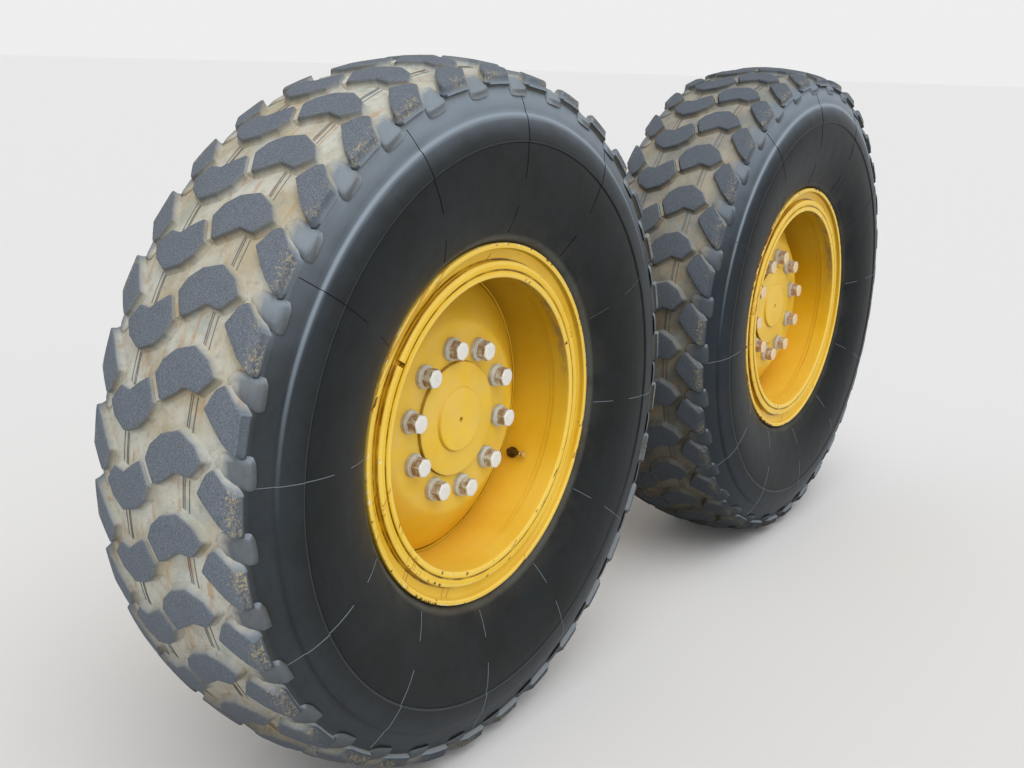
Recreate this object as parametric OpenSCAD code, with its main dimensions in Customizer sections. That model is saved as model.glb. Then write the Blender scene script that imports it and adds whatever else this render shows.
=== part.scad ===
// Left tandem of a motor grader: a chain case that rocks on the end of the
// rear axle and carries two wheels, one behind the other.
// +X is forwards, +Y outboard, +Z up. The origin is the centre of the face
// that bolts to the axle. Sizes are in millimetres.

/* [Drive case] */
// Distance between the two wheel centres
wheel_spacing = 1522; // [1460:1:1600]
// Height of the case's side plates
case_height = 506; // [480:1:520]
// Width of the case across its side plates
case_width = 210; // [190:1:240]
// Thickness of the outboard side plate
outer_plate = 18; // [12:1:24]
// Thickness of the inboard side plate
inner_plate = 16; // [12:1:24]
// Thickness of the top plate and of the rounded ends
wrap_plate = 14; // [10:1:20]
// Thickness that the bottom plate has beyond the top plate
bottom_extra = 8; // [4:1:12]
// How far the side plates stand past the wrapped plate
plate_lip = 8; // [4:1:12]
// Radius of the round inspection cover
cover_radius = 150; // [120:1:165]
// Thickness of the round inspection cover
cover_thickness = 14; // [8:1:20]
// Length of the filler cover on the top plate
hatch_length = 300; // [240:1:380]
// Radius of the brake pipes
pipe_radius = 6; // [4:0.5:8]

/* [Axle pivot] */
// Distance from the axle's bolting face to the case
pivot_length = 140; // [120:1:200]
// Radius of the bolting flange
flange_radius = 275; // [264:1:300]
// Thickness of the bolting flange
flange_thickness = 32; // [24:1:40]
// Number of bolt holes in the flange
flange_bolts = 16; // [12:1:20]
// Diameter of the flange's bolt circle
flange_circle = 490; // [470:1:500]
// Radius of a flange bolt hole
flange_hole = 12; // [8:1:14]
// Radius of the journal that the case turns on
journal_radius = 180; // [160:1:184]
// Length of the journal inside the case
journal_length = 70; // [40:1:90]
// Radius of the way through for the drive shaft
shaft_bore = 85; // [60:1:110]
// Number of ribs round the pivot housing
pivot_ribs = 8; // [4:1:12]
// Thickness of the ring that holds the case on the journal
ring_wall = 18; // [12:1:24]
// Radial clearance of a turning fit
running_fit = 0.08; // [0.03:0.01:0.1]

/* [Wheel end] */
// Radius of the brake housing's bolting flange
brake_flange = 212; // [204:1:222]
// Radius of the brake housing's drum
brake_radius = 178; // [160:1:184]
// Length of the brake housing out from the case
brake_length = 200; // [180:1:215]
// Radius of the wheel spindle
spindle_radius = 62; // [45:1:75]
// Radius of the hub flange behind the wheel disc
hub_radius = 176; // [165:1:184]
// Thickness of the hub flange
hub_thickness = 26; // [18:1:32]
// Radius of the hub's round plug in the disc
plug_radius = 113; // [100:1:116]
// How far the plug stands out of the disc
plug_proud = 8; // [4:1:14]
// Radius of the raised boss on the plug
boss_radius = 63; // [50:1:75]
// How far the boss stands out of the plug
boss_proud = 8; // [4:1:12]
// Radius of the centre drilling
centre_drill = 5; // [3:0.5:8]

/* [Rim] */
// Radius of the bead seat, half of 24 inches
seat_radius = 304.8; // [304:0.1:306]
// Width between the flanges, 10 inches
rim_width = 254; // [240:1:270]
// Height of the flanges over the bead seat
flange_height = 44.5; // [38:0.5:51]
// How far a flange reaches out beside the bead
flange_reach = 26; // [22:1:30]
// Thickness of the flanges
flange_wall = 10; // [8:0.5:12]
// Thickness of the rim's middle band
band_wall = 9; // [7:0.5:12]
// Depth of the disc's pad below the outer flange's edge
pad_depth = 85; // [75:1:100]
// Depth of the disc's weld below the outer flange's edge
weld_depth = 152; // [140:1:165]
// Radius of the disc's flat pad
pad_radius = 186; // [180:1:200]
// Thickness of the wheel disc
disc_wall = 16; // [12:1:20]
// Number of wheel bolts
wheel_bolts = 10; // [8:1:12]
// Diameter of the wheel bolt circle, 11.25 inches
bolt_circle = 285.75; // [282:0.25:290]
// Width of the gap in the lock ring
ring_gap = 9; // [4:1:16]

/* [Tyre] */
// Outer radius over the lugs
tyre_radius = 679; // [660:1:700]
// Width over the sidewalls
section_width = 384; // [370:1:400]
// Air between the case and the tyre
tyre_gap = 22; // [15:1:40]
// Height of the lugs in the middle of the tread
lug_height = 15; // [8:1:24]
// Number of lug pitches round the tyre
pitches = 33; // [28:1:34]
// Drop of the tread from its middle to its edge
crown_drop = 27; // [15:1:35]
// Half the width of the tread
tread_half = 160; // [150:1:166]
// Thickness of the sidewall
sidewall = 22; // [14:1:30]

/* [Hidden] */
$fn = 96;
CASE_NODES = ["pivot_housing", "tandem_case", "pivot_ring", "inspection_cover",
              "filler_cover", "case_plugs", "brake_lines", "brake_tee"];
WHEEL_NODES = ["brake_housing", "hub", "disc", "rim_base", "side_ring", "lock_ring",
               "tyre", "wheel_bolts", "valve"];

// Gap between two pieces that only rest on each other
seat_gap = 0.3;
// How deep one shape is sunk into another that it is welded to
weld = 1;
// Room between pieces that turn past each other
turn_room = 5;

// Stations along the wheel axis, and radii, that several pieces share
wheel_x = wheel_spacing / 2;
case_in = pivot_length;
case_out = case_in + case_width;
case_mid = (case_in + case_out) / 2;
case_r = case_height / 2;
wrap_r = case_r - plate_lip;
outer_inside = case_width - outer_plate;
collar_r = journal_radius + 24;
spigot_r = brake_radius - 12;
tyre_y = case_out + tyre_gap + section_width / 2;
flange_y = tyre_y + rim_width / 2 + flange_reach;
pad_y = flange_y - pad_depth;
hub_y = pad_y - disc_wall;
flange_r = seat_radius + flange_height;
band_r = seat_radius - 7;
band_in = band_r - band_wall;
wheel_bolt_hole = 12;

// Hexagon heads: width across flats, height, washer radius, washer thickness
M12 = [18, 8, 12, 2.5];
M16 = [24, 10, 13, 3];
PLUG_27 = [27, 10, 20, 4];
PLUG_32 = [32, 9, 24, 4];
module hex_head(size) {
    translate([0, 0, -weld / 2]) cylinder(r = size[2], h = size[3] + weld / 2, $fn = 32);
    translate([0, 0, size[3] - weld / 2]) cylinder(r = size[0] / sqrt(3), h = size[1] + weld / 2, $fn = 6);
}

// Turns +Z to outboard; an angle from +X towards +Z is then a negative one
module along_y(y = 0) translate([0, y, 0]) rotate([-90, 0, 0]) children();
module round_pattern(count, radius, start = 0)
    for (i = [0 : count - 1]) rotate(start + 360 * i / count) translate([radius, 0, 0]) children();
module drilled(outer, inner, height) difference() {
    cylinder(r = outer, h = height);
    translate([0, 0, -1]) cylinder(r = inner, h = height + 2);
}
function arc(centre, radius, from, to, steps) =
    [for (i = [0 : steps]) let (a = from + (to - from) * i / steps)
        [centre[0] + radius * cos(a), centre[1] + radius * sin(a)]];
function backwards(points) = [for (i = [len(points) - 1 : -1 : 0]) points[i]];
function flipped(points) = [for (p = points) [p[0], -p[1]]];

// Axle end: bolting flange, ribbed cone and the journal in the case
pivot_collar = 22;
cone_foot = flange_radius - 60;
cone_end = pivot_length - pivot_collar;
journal_end = pivot_length + journal_length;
module pivot_housing() color("goldenrod") along_y() difference() {
    union() {
        cylinder(r = flange_radius, h = flange_thickness);
        translate([0, 0, flange_thickness])
            cylinder(r1 = cone_foot, r2 = collar_r, h = cone_end - flange_thickness);
        translate([0, 0, cone_end - weld]) cylinder(r = collar_r, h = pivot_collar + weld - seat_gap);
        cylinder(r = journal_radius, h = journal_end);
        for (i = [0 : pivot_ribs - 1]) rotate(360 * (i + 0.5) / pivot_ribs) pivot_rib();
    }
    translate([0, 0, -1]) cylinder(r = shaft_bore, h = journal_end + 2);
    translate([0, 0, -1]) round_pattern(flange_bolts, flange_circle / 2)
        cylinder(r = flange_hole, h = flange_thickness + 2, $fn = 32);
}
rib_wall = 16;
rib_foot = flange_circle / 2 - flange_hole - 6;
module pivot_rib() rotate([90, 0, 0]) translate([0, 0, -rib_wall / 2]) linear_extrude(rib_wall)
    polygon([[journal_radius, flange_thickness - weld], [rib_foot, flange_thickness - weld],
             [collar_r - weld, cone_end - 30], [journal_radius, cone_end - 30]]);

// Flat shape with two round ends, centred on the pivot
module capsule(r, height) {
    for (x = [-wheel_x, wheel_x]) translate([x, 0, 0]) cylinder(r = r, h = height);
    translate([-wheel_x, -r, 0]) cube([wheel_spacing, 2 * r, height]);
}

// Chain case: two side plates with the wrapped plate welded between them
cover_opening = cover_radius - 28;
hatch_margin = 20;
tee_width = 26;
tee_side = outer_plate + 2;
hatch_width = case_width - 2 * (tee_side + tee_width + turn_room);
module tandem_case() color("gold") along_y(case_in) difference() {
    union() {
        capsule(case_r, inner_plate);
        translate([0, 0, outer_inside]) capsule(case_r, outer_plate);
        capsule(wrap_r, case_width - weld);
    }
    translate([0, 0, inner_plate]) difference() {
        capsule(wrap_r - wrap_plate, outer_inside - inner_plate);
        translate([-wheel_spacing, wrap_r - wrap_plate - bottom_extra, -1])
            cube([2 * wheel_spacing, 2 * wrap_plate, case_width]);
    }
    translate([0, 0, -1]) cylinder(r = journal_radius + running_fit, h = inner_plate + 2);
    translate([0, 0, outer_inside - 1]) {
        for (x = [-wheel_x, wheel_x]) translate([x, 0, 0]) cylinder(r = spigot_r, h = outer_plate + 2);
        cylinder(r = cover_opening, h = outer_plate + 2);
    }
    translate([hatch_margin - hatch_length / 2, -wrap_r - 1, case_width / 2 + hatch_margin - hatch_width / 2])
        cube([hatch_length - 2 * hatch_margin, wrap_plate + 2, hatch_width - 2 * hatch_margin]);
}

// Ring that holds the case on the journal, with its bolts
ring_r = case_r - 12;
ring_bolts = 20;
module pivot_ring() color("gold") along_y(case_in - seat_gap - ring_wall) {
    drilled(ring_r, collar_r + 3, ring_wall);
    round_pattern(ring_bolts, ring_r - M16[2] - 2) mirror([0, 0, 1]) hex_head(M16);
}

// Round cover over the drive sprocket, with its bolts
module inspection_cover() color("gold") along_y(case_out) {
    cylinder(r = cover_radius, h = cover_thickness);
    cylinder(r = cover_radius - 50, h = cover_thickness + 6);
    round_pattern(12, cover_radius - M12[2] - 2) translate([0, 0, cover_thickness]) hex_head(M12);
}

// Flat cover on the top plate, with the filler cap and the breather
hatch_plate = 10;
filler_x = 60;
breather_x = -70;
module filler_cover() color("gold") translate([0, case_mid, wrap_r]) {
    translate([-hatch_length / 2, -hatch_width / 2, 0]) cube([hatch_length, hatch_width, hatch_plate]);
    translate([0, 0, hatch_plate]) {
        for (x = [-1, 1], y = [-1, 1])
            translate([x * (hatch_length / 2 - 16), y * (hatch_width / 2 - 16), 0]) hex_head(M12);
        translate([filler_x, 0, -weld]) cylinder(r = 30, h = 23);
        translate([filler_x, 0, 21]) cylinder(r = 20, h = 15, $fn = 6);
        translate([breather_x, 0, -weld]) cylinder(r = 13, h = 31);
        translate([breather_x, 0, 29]) cylinder(r = 20, h = 17);
    }
}

// Level plugs in the outboard plate and drain plugs in the bottom
level_plug_x = wheel_x - brake_flange - 118;
level_plug_drop = 90;
drain_plug_x = wheel_x - 60;
module case_plugs() color("silver") for (side = [-1, 1]) {
    along_y(case_out) translate([side * level_plug_x, level_plug_drop, weld / 2]) hex_head(PLUG_27);
    translate([side * drain_plug_x, case_mid, -wrap_r - weld / 2]) mirror([0, 0, 1]) hex_head(PLUG_32);
}

// Brake housing bolted to the case round a wheel spindle
brake_foot = 22;
drum_end = 115;
nose_r = brake_radius - 30;
nose_start = drum_end + 22;
port_top = brake_radius + 18;
port_y = 44;
module brake_housing() color("goldenrod") along_y(case_out) difference() {
    union() {
        translate([0, 0, seat_gap]) cylinder(r = brake_flange, h = brake_foot);
        translate([0, 0, 2 - outer_plate]) cylinder(r = spigot_r - seat_gap, h = outer_plate);
        translate([0, 0, brake_foot]) cylinder(r = brake_radius, h = drum_end - brake_foot);
        translate([0, 0, drum_end]) cylinder(r1 = brake_radius, r2 = nose_r, h = nose_start - drum_end);
        translate([0, 0, nose_start - weld]) cylinder(r = nose_r, h = brake_length - nose_start + weld);
        for (z = [50, 72, 94]) translate([0, 0, z]) cylinder(r = brake_radius + 6, h = 8);
        translate([-18, -port_top, port_y - 20]) cube([36, 40, 40]);
        round_pattern(16, brake_flange - M16[2] - 3, 11.25)
            translate([0, 0, brake_foot + seat_gap]) hex_head(M16);
    }
    translate([0, 0, -outer_plate])
        cylinder(r = spindle_radius + running_fit, h = brake_length + outer_plate + 1);
}

// Brake pipes from the tee along the case, outboard and down to each port
pipe_z = wrap_r + 20;
bend_r = 22;
tee_x = -30;
tee_half = 26;
tee_height = 34;
pipe_y = case_out - tee_side - tee_width / 2;
clip = [24, 18, 30];
module pipe(length) cylinder(r = pipe_radius, h = length, $fn = 32);
module pipe_bend() rotate_extrude(angle = 90, $fn = 64)
    translate([bend_r, 0]) circle(r = pipe_radius, $fn = 32);
module pipe_run(side) {
    run = wheel_x - bend_r - side * tee_x - tee_half;
    reach = case_out + port_y - pipe_y - 2 * bend_r;
    translate([side * (side * tee_x + tee_half), pipe_y, pipe_z]) rotate([0, 90 * side, 0]) pipe(run);
    for (share = [0.3, 0.75])
        translate([side * (side * tee_x + tee_half + share * run) - clip[0] / 2, pipe_y - clip[1] / 2, wrap_r])
            cube(clip);
    translate([side * (wheel_x - bend_r), pipe_y + bend_r, pipe_z])
        mirror([side > 0 ? 0 : 1, 0, 0]) rotate(-90) pipe_bend();
    translate([side * wheel_x, pipe_y + bend_r, pipe_z]) rotate([-90, 0, 0]) pipe(reach);
    translate([side * wheel_x, case_out + port_y - bend_r, pipe_z - bend_r])
        rotate([90, 0, 90]) pipe_bend();
    translate([side * wheel_x, case_out + port_y, port_top]) pipe(pipe_z - bend_r - port_top);
}
module brake_lines() color("dimgray") for (side = [-1, 1]) pipe_run(side);
module brake_tee() color("dimgray")
    translate([tee_x - tee_half, pipe_y - tee_width / 2, wrap_r]) cube([2 * tee_half, tee_width, tee_height]);

// Hub: spindle, flange behind the disc, and the plug with its boss
shoulder_r = brake_radius - 40;
module hub() color("gold") along_y() difference() {
    shoulder_y = case_out + brake_length + turn_room;
    face_y = pad_y + plug_proud + boss_proud;
    union() {
        translate([0, 0, case_out - outer_plate + 4]) cylinder(r = spindle_radius, h = hub_y - case_out);
        translate([0, 0, shoulder_y]) cylinder(r = shoulder_r, h = hub_y - shoulder_y);
        translate([0, 0, hub_y - hub_thickness]) cylinder(r = hub_radius, h = hub_thickness);
        translate([0, 0, hub_y - weld]) cylinder(r = plug_radius, h = disc_wall + plug_proud + weld);
        translate([0, 0, pad_y]) cylinder(r = boss_radius, h = plug_proud + boss_proud);
    }
    translate([0, 0, face_y - 16]) cylinder(r = centre_drill, h = 20, $fn = 32);
}

// Rim flange: a plate that rises from the bead and curls out to its edge
curl_r = 14;
curl_out = curl_r + flange_wall / 2;
curl_in = curl_r - flange_wall / 2;
curl_centre = [flange_r - curl_out, curl_out - flange_reach];
module flange_outline(foot)
    polygon(concat([[foot, -flange_reach]], arc(curl_centre, curl_out, 270, 360, 6),
        [[flange_r, 0], [flange_r - flange_wall, 0]], arc(curl_centre, curl_in, 360, 270, 5),
        [[foot, flange_wall - flange_reach]]));

// Loose outer flange with the foot that carries the bead
gutter_r = seat_radius - 7.8;
ring_foot = 26;
module side_ring() color("gold") along_y(flange_y) rotate_extrude(convexity = 6) {
    flange_outline(seat_radius - weld);
    polygon([[gutter_r + seat_gap, -flange_reach - ring_foot], [seat_radius, -flange_reach - ring_foot],
             [seat_radius, flange_wall - flange_reach], [gutter_r + seat_gap, flange_wall - flange_reach + 2]]);
}

// Split ring that locks the side ring in the gutter
lock_top = seat_radius + 11.2;
lock_foot = gutter_r - 5;
lock_seat = -13.5;
lock_rise = -7.6;
module lock_ring(gap_angle) color("gold") along_y(flange_y) difference() {
    rotate_extrude(convexity = 6) polygon(concat(
        [[lock_foot, lock_seat], [gutter_r + seat_gap, lock_seat],
         [seat_radius + 4, flange_wall - flange_reach + 2.6], [lock_top, -10]],
        arc([lock_top - 7, -9.5], 7, 0, 90, 4),
        [[gutter_r + 5, -2.5], [gutter_r + seat_gap, -4.5], [gutter_r + seat_gap, lock_rise],
         [lock_foot, lock_rise]]));
    rotate(-gap_angle) translate([gutter_r - 20, -ring_gap / 2, -30]) cube([60, ring_gap, 40]);
}

// Rim base: gutter lip, band, bead seat and the fixed inner flange
gutter_in = band_in - 5;
rim_back = -2 * flange_reach - rim_width;
valve_hole = 8;
valve_z = 34 - weld_depth;
module rim_base(valve_angle) color("gold") along_y(flange_y) difference() {
    rotate_extrude(convexity = 8) {
        polygon([[band_in, -52], [gutter_in, -40], [gutter_in, -14], [gutter_in + 2, -6], [gutter_in + 6, -2],
            [gutter_r - 3, -2], [gutter_r, -5], [gutter_r, lock_rise + seat_gap],
            [lock_foot - seat_gap, lock_rise + seat_gap], [lock_foot - seat_gap, lock_seat - seat_gap],
            [gutter_r, lock_seat - seat_gap], [gutter_r, -58], [band_r, -64],
            [band_r, rim_back + 60], [seat_radius, rim_back + flange_reach + 4],
            [seat_radius, rim_back + flange_reach - flange_wall],
            [band_in + 2, rim_back + flange_reach - flange_wall + 2]]);
        translate([0, rim_back]) mirror([0, 1]) flange_outline(seat_radius - 8);
    }
    rotate(-valve_angle) translate([band_in - 20, 0, valve_z]) rotate([0, 90, 0])
        cylinder(r = valve_hole, h = 60, $fn = 32);
}

// Dished disc welded in the band, with its bolt holes
module disc(bolt_angle) color("gold") along_y(flange_y) difference() {
    edge = band_in - seat_gap;
    back = -pad_depth - disc_wall;
    bore = plug_radius + seat_gap;
    rotate_extrude(convexity = 6) polygon([
        [bore, back], [bore, -pad_depth], [pad_radius, -pad_depth], [pad_radius + 6, -pad_depth - 2.5],
        [edge - 10, 6 - weld_depth], [edge, -weld_depth], [edge, -weld_depth - disc_wall],
        [edge - 12, 4 - weld_depth - disc_wall], [pad_radius + 4, back - 3], [pad_radius - 4, back]]);
    translate([0, 0, back - 1]) round_pattern(wheel_bolts, bolt_circle / 2, -bolt_angle)
        cylinder(r = wheel_bolt_hole, h = disc_wall + 2, $fn = 32);
}

// Wheel bolts with thick stepped washers, standing on the disc's pad
washer_r = 23;
washer_t = 9;
step_t = 3;
wheel_bolt_across = 34;
wheel_bolt_head = 20;
module wheel_bolt_set(bolt_angle) color("silver") along_y(pad_y + seat_gap)
    round_pattern(wheel_bolts, bolt_circle / 2, -bolt_angle) {
        cylinder(r = washer_r, h = washer_t, $fn = 32);
        cylinder(r = washer_r - 3, h = washer_t + step_t, $fn = 32);
        cylinder(r = wheel_bolt_across / sqrt(3), h = washer_t + step_t + wheel_bolt_head, $fn = 6);
    }

// Valve through the rim band, turned out beside the disc
stem_r = 4.5;
module valve(valve_angle) color("peru") along_y(flange_y) rotate(-valve_angle)
    translate([band_in - 14, 0, valve_z]) {
        rotate([0, 90, 0]) cylinder(r = stem_r, h = 20, $fn = 24);
        translate([8, 0, 0]) rotate([0, 90, 0]) cylinder(r = valve_hole + 4, h = 6 - 2 * seat_gap, $fn = 32);
        translate([0, 0, -stem_r - 1]) cylinder(r = stem_r + 1, h = 2 * stem_r + 2, $fn = 24);
        cylinder(r = stem_r, h = 34, $fn = 24);
        translate([0, 0, 26]) cylinder(r = stem_r + 1.3, h = 12, $fn = 24);
    }

// Tyre: half of its outline from the bead over the bulge to the tread's middle
tyre_half = section_width / 2;
bead_half = rim_width / 2 - seat_gap;
bead_foot = seat_radius + seat_gap;
clamp_r = flange_r + 10;
clamp_half = bead_half + 28;
bulge_r = (flange_r + tyre_radius) / 2 - 9;
rib_r = bulge_r + 30;
rib_rise = 2.5;
rib_width = 46;
function crown(w) = tyre_radius - crown_drop * pow(w / tread_half, 2);
shoulder_foot = crown(tread_half) - lug_height - 12;
// Radius of the arc that leaves a wall square to it and falls by drop over reach
function bow(reach, drop) = (reach * reach + drop * drop) / (2 * drop);
lower_bow = bow(bulge_r - clamp_r, tyre_half - clamp_half);
upper_bow = bow(shoulder_foot - bulge_r, tyre_half - tread_half - 1);
// Half width of the sidewall at a radius: one arc on each side of the bulge
function side_w(r) = let (b = r < bulge_r ? lower_bow : upper_bow)
    tyre_half - b + sqrt(b * b - (r - bulge_r) * (r - bulge_r));
function side(from, to, steps) = [for (i = [0 : steps])
    let (r = from + (to - from) * i / steps) [r, side_w(r)]];
function raised(points) = [for (p = points) [p[0], p[1] + rib_rise]];
function outside() = concat(
    [[bead_foot, bead_half - 30], [bead_foot, bead_half]],
    arc([curl_centre[0], rim_width / 2 + curl_out], curl_out + seat_gap, 270, 350, 5),
    side(clamp_r, rib_r - 3, 6), raised(side(rib_r, rib_r + rib_width, 1)),
    side(rib_r + rib_width + 3, shoulder_foot, 2),
    [[crown(120) - lug_height, 120], [tyre_radius - lug_height, 0]]);
function inside() = [[flange_r, bead_half - 9], [bulge_r - 60, tyre_half - sidewall],
    [bulge_r + 60, tyre_half - sidewall], [crown(tread_half) - 50, tread_half - 40],
    [tyre_radius - lug_height - 26, 60]];

// Lug outlines: distance round the tyre, then distance outboard of its middle
centre_lug = [[-6, 108], [22, 84], [18, 58], [46, 16], [8, -4], [-16, 6], [-47, 62], [-30, 92]];
shoulder_lug = [[42, 101], [88, 137], [110, 162], [40, 162], [0, 128], [9, 116]];
// The inner half of a pitch is the outer half turned about this point of it
turn_at = 30;
lug_root = 30;
module lug(outline) {
    stand = max([for (p = outline) p[1]]) + min([for (p = outline) p[1]]);
    slope = atan(crown_drop * stand / (tread_half * tread_half));
    translate([crown(stand / 2), 0, stand / 2]) rotate([0, -slope, 0]) translate([-lug_root, 0, -stand / 2])
        rotate([90, 0, 90]) linear_extrude(lug_root + lug_height) polygon(outline);
}
module tread_pitch() for (outline = [centre_lug, shoulder_lug]) {
    lug(outline);
    rotate(2 * turn_at / tyre_radius * 180 / PI) rotate([180, 0, 0]) lug(outline);
}
// Band that trims the lugs to the crown, a little wider than their roots
function tread_band() = concat([for (w = [-1 : 0.25 : 1]) [crown(w * tread_half), w * tread_half]],
    [for (w = [1, 0.6, 0, -0.6, -1]) [crown(w * tread_half) - lug_root, w * (tread_half + 3)]]);
// Turns the start of a revolved shape away from the corners of the lugs
seam_turn = 1.4;
module tyre(turn) color("dimgray") along_y(tyre_y) rotate(turn) {
    rotate(-seam_turn) rotate_extrude(convexity = 8)
        polygon(concat(outside(), backwards(flipped(outside())), flipped(inside()), backwards(inside())));
    intersection() {
        rotate(-seam_turn) rotate_extrude(convexity = 8) polygon(tread_band());
        for (i = [0 : pitches - 1]) rotate(360 * i / pitches) tread_pitch();
    }
}

// Wheel end at x. Angles run from forwards towards the top: the first bolt,
// the valve, the lock ring's gap and the tyre's first pitch
module wheel_part(x, name, bolt_angle, valve_angle, gap_angle, turn) {
    translate([x, 0, 0]) brake_housing();
    translate([x, 0, 0]) hub();
    translate([x, 0, 0]) disc(bolt_angle);
    translate([x, 0, 0]) rim_base(valve_angle);
    translate([x, 0, 0]) side_ring();
    translate([x, 0, 0]) lock_ring(gap_angle);
    translate([x, 0, 0]) tyre(turn);
    translate([x, 0, 0]) wheel_bolt_set(bolt_angle);
    translate([x, 0, 0]) valve(valve_angle);
}
pivot_housing();
tandem_case();
pivot_ring();
inspection_cover();
filler_cover();
case_plugs();
brake_lines();
brake_tee();
wheel_part(wheel_x, "front", 82.3, 209.5, 33.4, -40);
wheel_part(-wheel_x, "rear", 60.7, 330.7, 141, -42.1);
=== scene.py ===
"""Left tandem of a motor grader, dressed for rendering.

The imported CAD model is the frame. Tyres, rims, discs, hubs and wheel bolts
are replaced by detailed pieces. The valves, the chain case and the axle end keep
their CAD shapes and get their finishes, and the case gets weld beads. Lengths
are in metres, +X is forwards, +Y outboard and +Z up, and the origin is on the
axle's bolting face.
"""

import logging
import math
from collections.abc import Sequence
from dataclasses import dataclass, field
from enum import Enum

import bmesh
import bpy
from mathutils import Matrix, Vector


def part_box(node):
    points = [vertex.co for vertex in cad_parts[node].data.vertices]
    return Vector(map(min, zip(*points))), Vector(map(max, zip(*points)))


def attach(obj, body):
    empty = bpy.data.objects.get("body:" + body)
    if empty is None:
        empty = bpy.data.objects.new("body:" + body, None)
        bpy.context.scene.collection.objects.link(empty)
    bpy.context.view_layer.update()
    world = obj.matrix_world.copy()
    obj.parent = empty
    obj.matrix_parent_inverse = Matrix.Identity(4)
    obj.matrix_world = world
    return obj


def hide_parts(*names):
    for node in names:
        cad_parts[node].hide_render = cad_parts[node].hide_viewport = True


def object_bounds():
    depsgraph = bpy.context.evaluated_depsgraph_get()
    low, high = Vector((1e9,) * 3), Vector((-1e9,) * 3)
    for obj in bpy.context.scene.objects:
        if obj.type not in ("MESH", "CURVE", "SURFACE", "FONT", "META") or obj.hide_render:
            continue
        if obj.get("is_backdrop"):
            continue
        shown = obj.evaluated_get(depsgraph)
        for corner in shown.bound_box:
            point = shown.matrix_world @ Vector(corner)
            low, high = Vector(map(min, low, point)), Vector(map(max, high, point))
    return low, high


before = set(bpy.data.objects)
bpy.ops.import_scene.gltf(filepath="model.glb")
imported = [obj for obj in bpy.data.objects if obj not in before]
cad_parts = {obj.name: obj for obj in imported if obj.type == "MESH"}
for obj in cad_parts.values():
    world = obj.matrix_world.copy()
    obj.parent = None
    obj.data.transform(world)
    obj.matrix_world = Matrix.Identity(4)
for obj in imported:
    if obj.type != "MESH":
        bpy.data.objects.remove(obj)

LOG = logging.getLogger("tandem")
MM = 0.001

# Pieces that rest on one another are seated this far apart.
SEAT_GAP = 0.3 * MM

# Edges stay sharp past this angle in degrees, and lengths below TINY count as nothing.
SHARP = 35.0
TINY = 1e-6

Point = tuple[float, float]
Colour = tuple[float, float, float, float]
Node = bpy.types.Node
Socket = bpy.types.NodeSocket
Thing = bpy.types.Object
Shape = bmesh.types.BMesh
Inputs = dict[str | int, object]
Takes = dict[str, tuple[str, object]]


def srgb(red: int, green: int, blue: int) -> Colour:
    """Turns a screen colour into the linear colour that a shader takes.

    Args:
        red: Red, 0 to 255.
        green: Green, 0 to 255.
        blue: Blue, 0 to 255.

    Returns:
        The linear colour with full alpha.
    """
    def linear(value: int) -> float:
        """Takes one channel out of the screen's curve."""
        share = value / 255
        return share / 12.92 if share <= 0.04045 else ((share + 0.055) / 1.055) ** 2.4

    return (linear(red), linear(green), linear(blue), 1.0)


class Slot(Enum):
    """Material slots of the record."""

    CASE = "yellow_paint"
    RIM = "rim_paint"
    RUBBER = "tyre_rubber"
    STEEL = "worn_steel"


class Mark(Enum):
    """Mesh attributes that tell a material which part of a piece it is on."""

    DUST = "dust"
    WORN = "worn"
    SEAM = "seam"


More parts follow.
